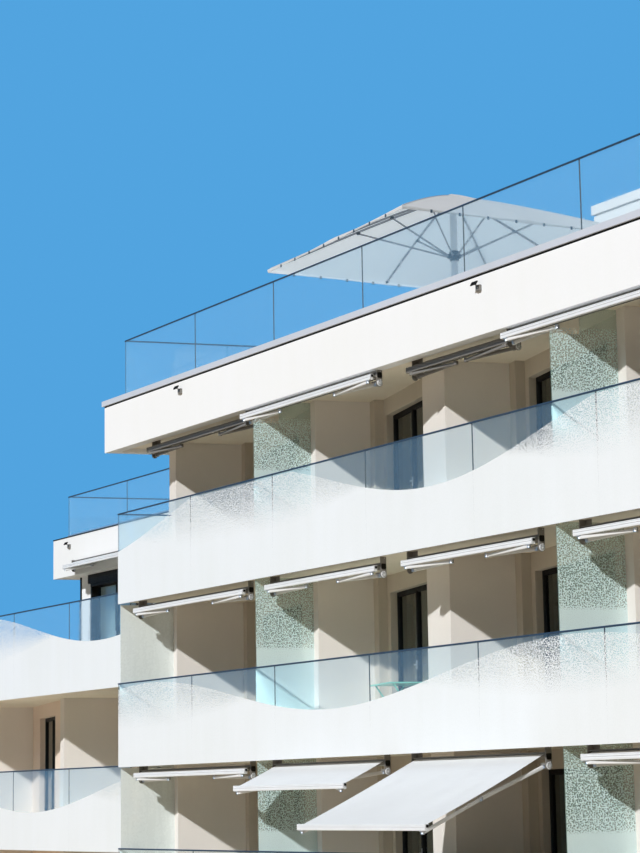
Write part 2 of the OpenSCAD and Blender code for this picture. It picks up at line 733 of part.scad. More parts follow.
// Folding table on the second-floor balcony
table_x = 6900;
table_y = 1390;
table_h = 710;
table_l = 1050;
table_w = 620;
table_top_t = 25;
leg_t = 24;
module table_leg(y0, y1)
    rotate([90, 0, 90]) linear_extrude(leg_t)
        polygon([[y0, 0], [y0 + leg_t, 0], [y1 + leg_t, table_h - table_top_t],
                 [y1, table_h - table_top_t]]);

module folding_table() color("mediumaquamarine")
    translate([table_x, table_y, floor_z(2)]) {
        translate([0, 0, table_h - table_top_t]) cube([table_l, table_w, table_top_t]);
        for (x = [80, table_l - 80 - leg_t]) translate([x, 0, 0]) {
            table_leg(60, table_w - 60 - leg_t);
            table_leg(table_w - 60 - leg_t, 60);
        }
    }

// A room on a roof, as a list: [left, right, front, rear, floor height, soffit height,
// door height, doors], where the front and rear are measured behind the front line and
// a door is [left end, width, leaves]
module roof_room(r)
    difference() {
        band_ring(r[0], r[1], r[2], r[3], wall_t, r[4], r[5]);
        for (o = r[7]) {
            at_front(o[0], r[2], r[4]) block(0, o[1], -10, wall_t + 10, -1, r[6]);
            at_front(o[0], r[3] - wall_t, r[4] + sill_h)
                block(0, rear_window_w, -10, wall_t + 10, 0, rear_window_h);
        }
    }

// Rooms on the main roof, set back behind the terrace
penthouse_x0 = 5000;
penthouse_x1 = penthouse_x0 + penthouse_l;
penthouse_wall_in = 500;
penthouse_rear = 11700;
penthouse_roof_z = deck_z + penthouse_clear_h;
penthouse_fascia_h = 740;
penthouse_neck_h = 30;
penthouse_capping_h = 170;
penthouse_door_h = 2150;
penthouse_room = [
    penthouse_x0 + penthouse_wall_in, penthouse_x1 - penthouse_wall_in,
    penthouse_setback + penthouse_wall_in, penthouse_rear - penthouse_wall_in,
    deck_z, penthouse_roof_z, penthouse_door_h, [[6300, 2900, 3], [9900, 2100, 2], [12600, 2900, 3]]
];
module penthouse_walls() color("white") roof_room(penthouse_room);

module penthouse_band(over, z0, z1)
    band(penthouse_x0 - over, penthouse_x1 + over, penthouse_setback - over,
         penthouse_rear + over, z0, z1);

module penthouse_roof() color("white") {
    z = penthouse_roof_z + penthouse_fascia_h;
    penthouse_band(0, penthouse_roof_z, z);
    penthouse_band(-40, z, z + penthouse_neck_h);
    penthouse_band(30, z + penthouse_neck_h, z + penthouse_neck_h + penthouse_capping_h);
}

// Lower wing at the left end
function wing_outline(x1) = [
    [wing_glass_x0 + glass_t, line_y(wing_glass_x0 + glass_t, wing_glass_setback + glass_t)],
    [x1, line_y(x1, wing_glass_setback + glass_t)], [x1, pier_y(0)], [left_face, pier_y(0)],
    [left_face, wing_rear_y], [wing_x0, wing_rear_y],
    [wing_x0, wing_end_y], [wing_glass_x0 + glass_t, wing_end_y]
];

module wing_slabs() color("antiquewhite")
    for (z = [wing_first_z, wing_terrace_z])
        translate([0, 0, z - wing_slab_t])
            linear_extrude(wing_slab_t) polygon(wing_outline(wing_balcony_x1));

// Each window of the wing's front: [left end, width, leaves]
wing_window_in = 1400;
wing_door_in = 400;
wing_openings = [[wing_x0 + wing_window_in, 1950, 2], [wing_pier_x1 + wing_door_in, 4000, 3]];
wing_head = 290;
function wing_opening_y(x) = x > wing_pier_x1 ? wing_y1 : wing_y2;
wing_rear_window_in = 1350;
wing_rear_xs = [wing_x0 + wing_rear_window_in, -6400, -3400];
module wing_walls() color("antiquewhite")
    for (l = wing_levels) difference() {
        union() {
            block(wing_end_x1, wing_pier_x0, wing_y2, wing_y2 + wall_t, l[0], l[1]);
            block(wing_pier_x1, left_face, wing_y1, wing_y1 + wall_t, l[0], l[1]);
            block(wing_end_x1, left_face, wing_rear_y - wall_t, wing_rear_y, l[0], l[1]);
        }
        for (o = wing_openings)
            block(o[0], o[0] + o[1], wing_opening_y(o[0]) - 1,
                  wing_opening_y(o[0]) + wall_t + 1, l[0] - 1, l[1] - wing_head);
        for (x = wing_rear_xs)
            block(x, x + rear_window_w, wing_rear_y - wall_t - 1, wing_rear_y + 1,
                  l[0] + sill_h, l[0] + sill_h + rear_window_h);
    }

// Set-back room and roof on the wing
wing_room_in = 580;
wing_room_in_front = 400;
wing_room_rear = 8800;
wing_room_door_h = 2240;
wing_room_door_in = 1080;
wing_room_door_pitch = 3980;
wing_room_door_x = wing_roof_x0 + wing_room_door_in;
wing_room_plan = [
    wing_roof_x0 + wing_room_in, left_face, wing_roof_setback + wing_room_in_front,
    wing_room_rear, wing_terrace_z, wing_roof_z, wing_room_door_h,
    [[wing_room_door_x, 3000, 3], [wing_room_door_x + wing_room_door_pitch, 3000, 3]]
];
module wing_room() color("white") roof_room(wing_room_plan);

module wing_roof() color("white")
    band(wing_roof_x0, left_face, wing_roof_setback, wing_room_rear + 200,
         wing_roof_z, wing_roof_z + wing_roof_h);

// Roller boxes over the doors of the wing's room
roller_box_d = 100;
module roller_boxes() color("dimgrey")
    for (o = wing_room_plan[7]) at_front(o[0], wing_room_plan[2], wing_terrace_z + wing_room_plan[6])
        block(0, o[1], -roller_box_d, 0, 0, wing_roof_z - wing_terrace_z - wing_room_plan[6]);

// Glass guards of the wing: two balcony levels with an end return, then the roof
wing_panels = 4;
wing_panel_l = (wing_balcony_x1 - wing_glass_x0) / wing_panels;
wing_guard_levels = [[wing_first_z, guard_h], [wing_terrace_z, wing_guard_h]];
wing_roof_glass_f = wing_roof_setback + 250;
wing_roof_glass_x0 = wing_roof_x0 + 220;
wing_roof_glass_x1 = roof_x0 - 100;
wing_roof_panel_l = (wing_roof_glass_x1 - wing_roof_glass_x0) / 3;
wing_roof_glass_h = 1010;
wing_roof_return_l = 4500;
module wing_glass() color("azure", 0.6) {
    for (g = wing_guard_levels) {
        z0 = g[0] - wing_slab_t - glass_drop;
        z1 = g[0] + g[1] - rail_h;
        for (n = [0:wing_panels - 1])
            glass_run(wing_glass_x0 + n * wing_panel_l, wing_glass_x0 + (n + 1) * wing_panel_l,
                      wing_glass_setback, z0, z1);
        block(wing_glass_x0, wing_glass_x0 + glass_t,
              line_y(wing_glass_x0, wing_glass_setback + glass_t) + joint_w, wing_end_y, z0, z1);
    }
    z2 = wing_roof_z + wing_roof_h;
    z3 = z2 + wing_roof_glass_h - rail_h;
    for (n = [0:2])
        glass_run(wing_roof_glass_x0 + n * wing_roof_panel_l,
                  wing_roof_glass_x0 + (n + 1) * wing_roof_panel_l, wing_roof_glass_f, z2, z3);
    block(wing_roof_glass_x0, wing_roof_glass_x0 + glass_t,
          line_y(wing_roof_glass_x0, wing_roof_glass_f + glass_t) + joint_w,
          line_y(wing_roof_glass_x0, wing_roof_glass_f) + wing_roof_return_l, z2, z3);
}

module wing_rails() {
    for (g = wing_guard_levels) {
        rail_run(wing_glass_x0, wing_balcony_x1 - rail_over, wing_glass_setback, g[0] + g[1]);
        rail_return(wing_glass_x0, wing_glass_setback, wing_end_y, g[0] + g[1]);
    }
    z = wing_roof_z + wing_roof_h + wing_roof_glass_h;
    rail_run(wing_roof_glass_x0, wing_roof_glass_x1, wing_roof_glass_f, z);
    rail_return(wing_roof_glass_x0, wing_roof_glass_f,
                line_y(wing_roof_glass_x0, wing_roof_glass_f) + wing_roof_return_l, z);
}

// All the rails that cap the glass
module glass_rails() color("steelblue") {
    balcony_rails();
    roof_rails();
    wing_rails();
}

ground_slab();
floor_slabs();
roof_slab();
roof_deck();
roof_fascia();
roof_capping();
end_walls();
balcony_piers();
front_wall_ground();
front_wall_first();
front_wall_second();
front_wall_third();
rear_wall_ground();
rear_wall_first();
rear_wall_second();
rear_wall_third();
door_frames();
door_glass();
window_frames();
window_glass();
entrance_door();
balcony_glass();
glass_rails();
privacy_screens();
end_screens();
awning_rollers();
awning_arms();
awning_front_bars();
awning_fabrics();
roof_glass();
fascia_spotlights();
parasol_mast();
parasol_frame();
parasol_canopy();
planter_bowl();
folding_table();
penthouse_walls();
penthouse_roof();
wing_slabs();
wing_walls();
wing_room();
wing_roof();
wing_glass();
roller_boxes();
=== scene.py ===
import sys

import logging
import math
from collections.abc import Mapping
from dataclasses import dataclass, field, replace
from enum import Enum

import bpy
import numpy as np
from mathutils import Matrix


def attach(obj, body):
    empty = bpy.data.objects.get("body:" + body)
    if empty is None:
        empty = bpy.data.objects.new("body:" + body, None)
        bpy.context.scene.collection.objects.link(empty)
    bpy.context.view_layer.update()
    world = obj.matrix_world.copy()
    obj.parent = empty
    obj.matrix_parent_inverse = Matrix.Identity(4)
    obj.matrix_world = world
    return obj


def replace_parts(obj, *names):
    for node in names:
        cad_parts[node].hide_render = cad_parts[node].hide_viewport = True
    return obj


# Looks of the apartment block, in metres: X along the rooms' grid, Y inwards, Z up

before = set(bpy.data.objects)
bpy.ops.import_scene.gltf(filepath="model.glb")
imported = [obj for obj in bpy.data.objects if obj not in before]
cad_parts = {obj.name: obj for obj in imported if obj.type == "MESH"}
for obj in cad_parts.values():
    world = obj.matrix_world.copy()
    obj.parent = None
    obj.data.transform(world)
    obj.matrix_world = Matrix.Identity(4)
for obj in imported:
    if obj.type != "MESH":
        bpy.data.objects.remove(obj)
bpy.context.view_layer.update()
log = logging.getLogger("apartment_block")

Triple = tuple[float, float, float]
Span = tuple[float, float]
Outline = tuple[Span, ...]
Doors = tuple[tuple[float, float, int], ...]
Array = np.ndarray
Socket = bpy.types.NodeSocket
Inputs = Mapping[int | str, object]


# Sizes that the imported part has


@dataclass(frozen=True)
class Plan:
    """The block's main sizes, and the places that follow from them."""

    slant: float = math.radians(14.76)
    origin_back: float = 1.5
    storeys: int = 4
    storey_h: float = 3.0
    ground_floor: float = 0.15
    clear_h: float = 2.6
    balcony: Span = (0.1, 21.325)
    glass_f: float = 0.15
    glass_t: float = 0.022
    guard_h: float = 1.11
    top_guard_h: float = 1.27
    glass_below: float = 0.43
    rail_h: float = 0.028
    panel_pitch: float = 2.785
    pier_f: float = 1.12
    wall_t: float = 0.3
    room_depth: float = 10.0
    door_h: float = 2.31
    door_margin: float = 0.4
    reveal: float = 0.12
    frame_w: float = 0.07
    frame_d: float = 0.08
    roof_f: float = 0.25
    roof_x: Span = (-0.66, 22.085)
    roof_z: float = 11.75
    deck_z: float = 12.25
    roof_glass: Span = (-0.44, 21.865)
    roof_glass_f: float = 0.55
    roof_glass_top: float = 13.85
    roof_pitch: float = 2.745
    fascia_z: Span = (11.68, 12.55)
    capping_z: Span = (12.58, 12.68)
    penthouse_f: Span = (7.1, 11.2)
    penthouse_door_h: float = 2.15
    piers: tuple[Span, ...] = (
        (-0.15, 0.4), (5.01, 5.3), (8.0, 9.05), (13.03, 13.32), (16.02, 17.07), (21.05, 21.6))
    recesses: tuple[float, ...] = (1.44, 1.14, 1.24, 1.14, 1.24)
    doors: tuple[tuple[float, int], ...] = ((3.0, 3), (2.0, 2), (3.0, 3), (2.0, 2), (3.0, 3))
    penthouse_doors: Doors = ((6.3, 2.9, 3), (9.9, 2.1, 2), (12.6, 2.9, 3))
    entrance_bay: tuple[int, int] = (0, 2)
    entrance_x: float = 9.94
    entrance_size: Span = (2.2, 2.3)
    rear_size: Span = (1.3, 1.4)
    sill_h: float = 0.9
    wide_bay: float = 3.5

    def line_y(self, x: float, f: float) -> float:
        """Y of the point at x that lies f behind the front line."""
        return x * math.tan(self.slant) + f - self.origin_back

    def along(self, x0: float, x1: float) -> float:
        """Length along the slanted front between two values of X."""
        return (x1 - x0) / math.cos(self.slant)

    def floor_z(self, storey: int) -> float:
        """Height of a storey's floor."""
        return self.ground_floor + storey * self.storey_h

    def guard_z(self, storey: int) -> float:
        """Height of the guard's top on a storey."""
        tall = storey == self.storeys - 1
        return self.floor_z(storey) + (self.top_guard_h if tall else self.guard_h)

    def pier_y(self, index: int) -> float:
        """Y of a pier's front end."""
        return self.line_y(self.piers[index][1], self.pier_f)

    def wall_y(self, bay: int) -> float:
        """Y of the window wall of a bay."""
        return self.pier_y(bay) + self.recesses[bay]

    def rear_y(self, bay: int) -> float:
        """Y of the inner face of the rear wall of a bay."""
        return self.wall_y(bay) + self.room_depth

    def bay_x(self, bay: int) -> Span:
        """Left and right end of a bay."""
        return self.piers[bay][1], self.piers[bay + 1][0]


@dataclass(frozen=True)
class Wing:
    """Sizes of the lower wing on the left."""

    levels: tuple[Span, ...] = ((0.15, 4.05), (4.65, 2.6))
    guards: tuple[Span, ...] = ((4.65, 1.11), (7.7, 1.29))
    balcony: Span = (-10.3, 0.05)
    glass_f: float = 0.4
    panels: int = 4
    terrace_z: float = 7.7
    pier_x: Span = (-9.9, -5.4)
    pier_f: float = 1.57
    recesses: Span = (1.28, 1.46)
    openings: Doors = ((-8.95, 1.95, 2), (-5.0, 4.0, 3))
    head: float = 0.29
    rear_x: tuple[float, ...] = (-9.0, -6.4, -3.4)
    rear_y: float = 8.5
    room_f: Span = (3.6, 8.8)
    room_doors: Doors = ((-8.58, 3.0, 3), (-4.6, 3.0, 3))
    room_door_h: float = 2.24
    roof: Span = (-9.66, -0.7)
    roof_f: float = 3.2
    roof_z: float = 10.465
    roof_top: float = 11.02
    roof_glass: Span = (-9.44, -0.76)
    roof_glass_f: float = 3.45
    roof_glass_top: float = 12.03
    roof_panels: int = 3
    post: Span = (-9.16, 3.62)
    post_z: Span = (7.7, 10.14)


PLAN = Plan()
WING = Wing()
ACROSS, UP = np.array([1.0, 0.0, 0.0]), np.array([0.0, 0.0, 1.0])


@dataclass(frozen=True)
class Place:
    """A spot with a turn about the upright axis."""

    x: float
    y: float
    z: float
    turn: float = 0.0

    def put(self, points: Array) -> Array:
        """Points, n by 3, turned by the angle and then moved to the spot."""
        (x, y, z), c, s = points.T, math.cos(self.turn), math.sin(self.turn)
        return np.column_stack([x * c - y * s, x * s + y * c, z]) + [self.x, self.y, self.z]

    def behind(self, depth: float) -> "Place":
        """The spot that lies a depth behind this one, square to its front."""
        return replace(self, x=self.x - depth * math.sin(self.turn), y=self.y + depth * math.cos(self.turn))


def on_front(x: float, f: float, z: float) -> Place:
    """A spot on the slanted front line, turned along it."""
    return Place(x, PLAN.line_y(x, f), z, PLAN.slant)


# Surfaces as arrays


@dataclass
class Patch:
    """One surface: its points, its four-sided faces, its caps, and its cloth or print coordinates."""

    points: Array
    quads: Array
    caps: list[tuple[int, ...]] = field(default_factory=list)
    uv: Array | None = None
    value: Array | None = None

    def moved(self, place: Place) -> "Patch":
        """The same surface at another place."""
        return replace(self, points=place.put(self.points))

    def shifted(self, by: Array | Triple) -> "Patch":
        """The same surface moved straight."""
        return replace(self, points=self.points + np.asarray(by))

    def tipped(self, way: int = 1) -> "Patch":
        """The same surface with its upright axis laid along X (1), or its X axis stood upright (-1)."""
        return replace(self, points=self.points[:, [2, 1, 0]] * [way, 1, -way])

    def turned_over(self) -> "Patch":
        """The same surface with its faces looking the other way."""
        return replace(self, quads=self.quads[:, ::-1], caps=[c[::-1] for c in self.caps])

    def volume(self) -> float:
        """Adds up the tetrahedra from the middle to each face.

        Returns:
            The signed volume, which is positive where the faces point outwards.
        """
        p = self.points - self.points.mean(0)
        a, b, c, d = (p[self.quads[:, i]] for i in range(4))
        total = float((a * np.cross(b, c)).sum() + (a * np.cross(c, d)).sum())
        for cap in self.caps:
            ring = p[list(cap)]
            total += float((ring[0] * np.cross(ring[1:-1], ring[2:])).sum())
        return total / 6

    def outward(self) -> "Patch":
        """A closed surface with its faces turned outwards."""
        return self.turned_over() if self.volume() < 0 else self


def spread(shape: tuple[int, ...], *parts: Array | float) -> Array:
    """Coordinates that are each spread over a grid and stacked as its last axis."""
    return np.stack([np.broadcast_to(part, shape) for part in parts], -1)


def grid_quads(rows: int, cols: int, wrap_rows: bool = False, wrap_cols: bool = False) -> Array:
    """Faces of a grid of points, counted row by row.

    Args:
        rows: Number of rows.
        cols: Number of points in a row.
        wrap_rows: True where the last row joins the first one.
        wrap_cols: True where each row is a ring.

    Returns:
        Four numbers of points for each face.
    """
    r = np.arange(rows if wrap_rows else rows - 1)
    c = np.arange(cols if wrap_cols else cols - 1)
    rr, cc = np.meshgrid(r, c, indexing="ij")
    rn, cn = (rr + 1) % rows, (cc + 1) % cols
    return np.stack([rr * cols + cc, rr * cols + cn, rn * cols + cn, rn * cols + cc], -1).reshape(-1, 4)


def tube(points: Array, wrap_rows: bool = False) -> Patch:
    """A surface from rings of points, closed by a flat cap at each end or joined end to start.

    Args:
        points: The rings, rows by points of a ring by 3.
        wrap_rows: True where the last ring joins the first one.

    Returns:
        The closed surface.
    """
    n, m = points.shape[:2]
    caps = [] if wrap_rows else [tuple(range(m))[::-1], tuple(range((n - 1) * m, n * m))]
    return Patch(points.reshape(-1, 3), grid_quads(n, m, wrap_rows, True), caps).outward()


def extrude(profile: Array | Outline, x0: float, x1: float) -> Patch:
    """A closed outline of pairs (Y, Z), carried from one X to another one and closed at both ends."""
    y, z = np.transpose(profile)
    return tube(spread((2, len(y)), np.sort([x0, x1])[:, None], y, z))


def circle(radius: float, sides: int = 10) -> Array:
    """A round section."""
    a = np.linspace(0, 2 * math.pi, sides, endpoint=False)
    return radius * np.column_stack([np.cos(a), np.sin(a)])


def rounded(width: float, height: float, radius: float, steps: int = 3) -> Array:
    """Outline of a rectangle about the middle, with quarter circles at its corners.

    Args:
        width: Size across.
        height: Size upwards.
        radius: Radius of the corners.
        steps: Number of points on each quarter circle.

    Returns:
        The outline as pairs.
    """
    t = np.linspace(0, math.pi / 2, steps)
    corners = []
    for k, (sx, sz) in enumerate(((1, 1), (-1, 1), (-1, -1), (1, -1))):
        a = t + k * math.pi / 2
        middle = sx * (width / 2 - radius), sz * (height / 2 - radius)
        corners.append(radius * np.column_stack([np.cos(a), np.sin(a)]) + middle)
    return np.vstack(corners)


def box(x: Span, y: Span, z: Span, radius: float = 0.003) -> Patch:
    """A bar along X with rounded long edges, given by its extents."""
    outline = rounded(y[1] - y[0], z[1] - z[0], radius) + [(y[0] + y[1]) / 2, (z[0] + z[1]) / 2]
    return extrude(outline, *x)


def frame_ring(profile: Array, x: Span, z: Span) -> Patch:
    """A profile of pairs (inwards, Y) carried round an upright rectangle with mitred corners."""
    corners = ((x[0], z[0], 1, 1), (x[1], z[0], -1, 1), (x[1], z[1], -1, -1), (x[0], z[1], 1, -1))
    return tube(np.array([np.column_stack([cx + sx * profile[:, 0], profile[:, 1], cz + sz * profile[:, 0]])
                          for cx, cz, sx, sz in corners]), wrap_rows=True)


def lathe(profile: Array | Outline, sides: int = 32, closed: bool = False) -> Patch:
    """A profile of pairs (radius, height) turned about the upright axis.

    Args:
        profile: The outline from bottom to top; the ends are closed by flat discs.
        sides: How many steps make the full turn.
        closed: True where the outline is a ring of its own, as on a collar.

    Returns:
        The closed surface.
    """
    a = np.linspace(0, 2 * math.pi, sides, endpoint=False)
    r, z = np.hsplit(np.array(profile), 2)
    return tube(spread((len(r), sides), r * np.cos(a), r * np.sin(a), z), closed)


def sweep(path: Array, section: Array, up: Array = UP) -> Patch:
    """A closed section carried along a path, upright to it at each point, and closed at both ends.

    Args:
        path: The points that the section follows, n by 3.
        section: Closed outline as pairs (sideways, upwards).
        up: A direction that is never along the path.

    Returns:
        The closed surface.
    """
    ahead = np.gradient(path, axis=0)
    ahead /= np.linalg.norm(ahead, axis=1, keepdims=True)
    side = np.cross(ahead, up)
    side /= np.linalg.norm(side, axis=1, keepdims=True)
    over = np.cross(side, ahead)
    return tube(path[:, None] + section[None, :, :1] * side[:, None] + section[None, :, 1:] * over[:, None])


def rod(start: Array | Triple, end: Array | Triple, section: Array, up: Array = UP) -> Patch:
    """A straight bar between two points."""
    return sweep(np.array([start, end], float), section, up)


def sheet_patch(points: Array, uv: Array, value: Array | None = None) -> Patch:
    """An open surface from a grid of points, its coordinates in metres, and a value for each if asked."""
    return Patch(points.reshape(-1, 3), grid_quads(*points.shape[:2]), [], uv.reshape(-1, 2),
                 None if value is None else value.reshape(-1))


class Shell:
    """Surfaces that are gathered and then made into one mesh object."""

    def __init__(self) -> None:
        """Starts with nothing gathered."""
        self.patches: list[Patch] = []

    def add(self, patch: Patch, place: Place | None = None) -> None:
        """Adds a surface, at a place if one is given."""
        self.patches.append(patch.moved(place) if place else patch)

    def build(self, name: str, finish: "Finish", smooth: float | None = 35.0,
              slot: str | None = None) -> bpy.types.Object:
        """Makes the mesh object, dresses it and lets it ride on the block.

        Args:
            name: The piece's name.
            finish: What it is made of.
            smooth: Angle in degrees past which an edge stays sharp, or None for flat faces.
            slot: The record's material slot; not used.

        Returns:
            The new object.
        """
        faces, start = [], 0
        for p in self.patches:
            faces += [tuple(q) for q in (p.quads + start).tolist()]
            faces += [tuple(i + start for i in cap) for cap in p.caps]
            start += len(p.points)
        mesh = bpy.data.meshes.new(name)
        mesh.from_pydata(np.vstack([p.points for p in self.patches]).tolist(), [], faces)
        if self.patches[0].uv is not None:
            loops = np.empty(len(mesh.loops), np.int32)
            mesh.loops.foreach_get("vertex_index", loops)
            uv = np.vstack([p.uv for p in self.patches])[loops]
            mesh.uv_layers.new(name="cloth").data.foreach_set("uv", uv.astype(np.float32).ravel())
        if self.patches[0].value is not None:
            value = np.concatenate([p.value for p in self.patches]).astype(np.float32)
            mesh.attributes.new("print", "FLOAT", "POINT").data.foreach_set("value", value)
        mesh.polygons.foreach_set("use_smooth", np.full(len(mesh.polygons), smooth is not None))
        if smooth is not None:
            mesh.set_sharp_from_angle(angle=math.radians(smooth))
        mesh.materials.append(finish.material())
        piece = bpy.data.objects.new(name, mesh)
        bpy.context.scene.collection.objects.link(piece)
        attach(piece, "root")
        log.info("%s: %d faces", name, len(faces))
        return piece


# Node graphs


class Graph:
    """Short ways to lay and join shader nodes in one tree."""

    def __init__(self, tree: bpy.types.NodeTree) -> None:
        """Takes the tree to work in."""
        self.tree = tree

    def fill(self, node: bpy.types.Node, values: Inputs) -> None:
        """Gives a node's inputs what they take.

        Args:
            node: The node.
            values: By name or number of the input, a socket to join, a plain value or a colour.
        """
        for key, value in values.items():
            target = node.inputs[key]
            if isinstance(value, Socket):
                self.tree.links.new(value, target)
            elif target.type == "RGBA" and len(value) == 3:
                target.default_value = (*value, 1.0)
            else:
                target.default_value = value

    def node(self, kind: str, values: Inputs | None = None, **settings: object) -> bpy.types.Node:
        """Adds a node.

        Args:
            kind: Its type, without the words that all types start with.
            values: What its inputs take.
            **settings: Its own settings by name.

        Returns:
            The new node.
        """
        made = self.tree.nodes.new("ShaderNode" + kind)
        for key, value in settings.items():
            setattr(made, key, value)
        self.fill(made, values or {})
        return made

    def math(self, operation: str, first: object, second: object = 0.0,
             clamp: bool = False) -> Socket:
        """A Math node on one or two inputs."""
        return self.node("Math", {0: first, 1: second}, operation=operation, use_clamp=clamp).outputs[0]

    def times(self, first: object, second: object) -> Socket:
        """The product of two values."""
        return self.math("MULTIPLY", first, second)

    def scaled(self, vector: Socket, factors: Triple) -> Socket:
        """A vector times a factor on each axis."""
        return self.node("VectorMath", {0: vector, 1: factors}, operation="MULTIPLY").outputs[0]

    def noise(self, vector: Socket, scale: object, detail: float = 2.0) -> Socket:
        """Soft random values about one half."""
        return self.node("TexNoise", {"Vector": vector, "Scale": scale, "Detail": detail}).outputs["Fac"]

    def ranged(self, value: object, given: tuple[object, object],
               wanted: tuple[object, object] = (0.0, 1.0)) -> Socket:
        """Maps the given range of a value onto the wanted one, and holds the ends."""
        return self.node("MapRange", {"Value": value, "From Min": given[0], "From Max": given[1],
                                      "To Min": wanted[0], "To Max": wanted[1]}, clamp=True).outputs["Result"]

    def mixed(self, factor: object, first: object, second: object, how: str = "MIX") -> Socket:
        """Mixes two colours."""
        return self.node("Mix", {0: factor, 6: first, 7: second}, data_type="RGBA", blend_type=how).outputs[2]

    def toned(self, colour: object, red: object, green: object, blue: object) -> Socket:
        """A colour times a share of its own for red, green and blue."""
        tone = self.node("CombineColor", {"Red": red, "Green": green, "Blue": blue})
        return self.mixed(1.0, colour, tone.outputs[0], "MULTIPLY")

    def bumped(self, height: Socket, depth: float, strength: float) -> Socket:
        """A normal from a height."""
        given = {"Strength": strength, "Distance": depth, "Height": height}
        return self.node("Bump", given).outputs["Normal"]

    def places(self) -> Socket:
        """Object coordinates, which are metres in the block's frame."""
        return self.node("TexCoord").outputs["Object"]

    def cloth_places(self) -> Socket:
        """The piece's own UV map, in metres."""
        return self.node("TexCoord").outputs["UV"]

    def effect(self, kind: "Effect", place: Socket, **values: object) -> bpy.types.NodeOutputs:
        """Places a shared group on coordinates, with its other inputs by name."""
        return self.node("Group", {"Place": place, **values}, node_tree=group_of(kind)).outputs


def mottle(g: Graph, given: bpy.types.NodeOutputs) -> Inputs:
    """Cloudy patches, faint rain streaks and fine grains on a mineral or painted surface.

    The colour is the base times a broad noise and a noise stretched upright; the height is a
    fine noise plus a coarser one.

    Args:
        g: The group's graph.
        given: The group's own inputs.

    Returns:
        What comes out of the group.
    """
    place = given["Place"]
    broad = g.noise(place, 0.55, 4.0)
    streak = g.noise(g.scaled(place, (2.2, 2.2, 0.22)), 1.6, 3.0)
    fine = g.noise(place, given["Grain"], 3.0)
    mask = g.ranged(g.math("ADD", g.times(broad, 0.6), g.times(streak, 0.4)), (0.36, 0.64))
    low = g.math("SUBTRACT", 1.0, given["Depth"])
    shade = g.times(g.ranged(mask, (0.0, 1.0), (low, 1.0)), g.ranged(fine, (0.25, 0.75), (0.97, 1.02)))
    blue = g.times(shade, g.ranged(mask, (0.0, 1.0), (0.985, 1.0)))
    coarse = g.times(g.noise(place, 14.0), 0.8)
    return {"Colour": g.toned(given["Colour"], shade, shade, blue), "Height": g.math("ADD", fine, coarse),
            "Mask": mask}


def weave(g: Graph, given: bpy.types.NodeOutputs) -> Inputs:
    """Warp and weft threads: the height is the higher of two rounded waves that pass over in turn.

    Args:
        g: The group's graph.
        given: The group's own inputs.

    Returns:
        What comes out of the group.
    """
    split = g.node("SeparateXYZ", {0: given["Place"]})
    turn = g.times(given["Threads"], math.pi)
    across, along = (g.math("SINE", g.times(split.outputs[i], turn)) for i in (0, 1))
    over = g.times(across, along)
    warp, weft = (g.times(g.math("ABSOLUTE", wave), g.ranged(over, (-1.0, 1.0), ends))
                  for wave, ends in ((across, (0.6, 1.0)), (along, (1.0, 0.6))))
    slub = g.noise(g.scaled(given["Place"], (1.0, 14.0, 1.0)), 3.0, 3.0)
    cloud = g.noise(given["Place"], 0.9, 3.0)
    shade = g.times(g.ranged(slub, (0.3, 0.7), (0.975, 1.0)), g.ranged(cloud, (0.3, 0.7), (0.95, 1.0)))
    return {"Colour": g.toned(given["Colour"], shade, shade, shade), "Height": g.math("MAXIMUM", warp, weft)}


def dots(g: Graph, given: bpy.types.NodeOutputs) -> Inputs:
    """Print in round dots: clear dots in white where it covers more than half, white dots where less.

    A dot reaches as far as the distance to its middle is under a radius, which is the square root
    of the smaller one of the cover and of what the cover lacks, times a random share of its own.

    Args:
        g: The group's graph.
        given: The group's own inputs.

    Returns:
        What comes out of the group.
    """
    cells = g.node("TexVoronoi", {"Vector": given["Place"], "Scale": given["Cells"], "Randomness": 0.8},
                   voronoi_dimensions="2D", feature="F1")
    split = g.node("SeparateColor", {0: cells.outputs["Color"]})
    lack = g.math("SUBTRACT", 1.0, given["Cover"], clamp=True)
    least = g.math("SQRT", g.math("MINIMUM", lack, given["Cover"]))
    radius = g.times(least, g.ranged(split.outputs[0], (0.0, 1.0), (0.42, 0.80)))
    dot = g.math("LESS_THAN", cells.outputs["Distance"], radius)
    mostly = g.math("GREATER_THAN", given["Cover"], 0.5)
    return {"Mask": g.math("ABSOLUTE", g.math("SUBTRACT", mostly, dot))}


def dust(g: Graph, given: bpy.types.NodeOutputs) -> Inputs:
    """Dust and dried rain marks on a smooth surface, as a mask and a roughness.

    Args:
        g: The group's graph.
        given: The group's own inputs.

    Returns:
        What comes out of the group.
    """
    runs = g.noise(g.scaled(given["Place"], (6.0, 6.0, 0.8)), 2.0, 3.0)
    spots = g.noise(given["Place"], 22.0, 3.0)
    mask = g.ranged(g.times(runs, spots), (0.18, 0.42))
    return {"Mask": mask, "Rough": g.math("ADD", given["Rough"], g.times(mask, given["Spread"]))}


class Effect(Enum):
    """The shared shader node groups."""

    MOTTLE = "mineral_mottle"
    WEAVE = "thread_weave"
    DOTS = "scattered_dots"
    DUST = "settled_dust"


GREY = (0.8, 0.8, 0.8, 1.0)
RECIPES = {Effect.MOTTLE: (mottle, {"Colour": GREY, "Depth": 0.08, "Grain": 90.0}),
           Effect.WEAVE: (weave, {"Colour": GREY, "Threads": 400.0}),
           Effect.DOTS: (dots, {"Cover": 0.5, "Cells": 34.0}),
           Effect.DUST: (dust, {"Rough": 0.3, "Spread": 0.12})}


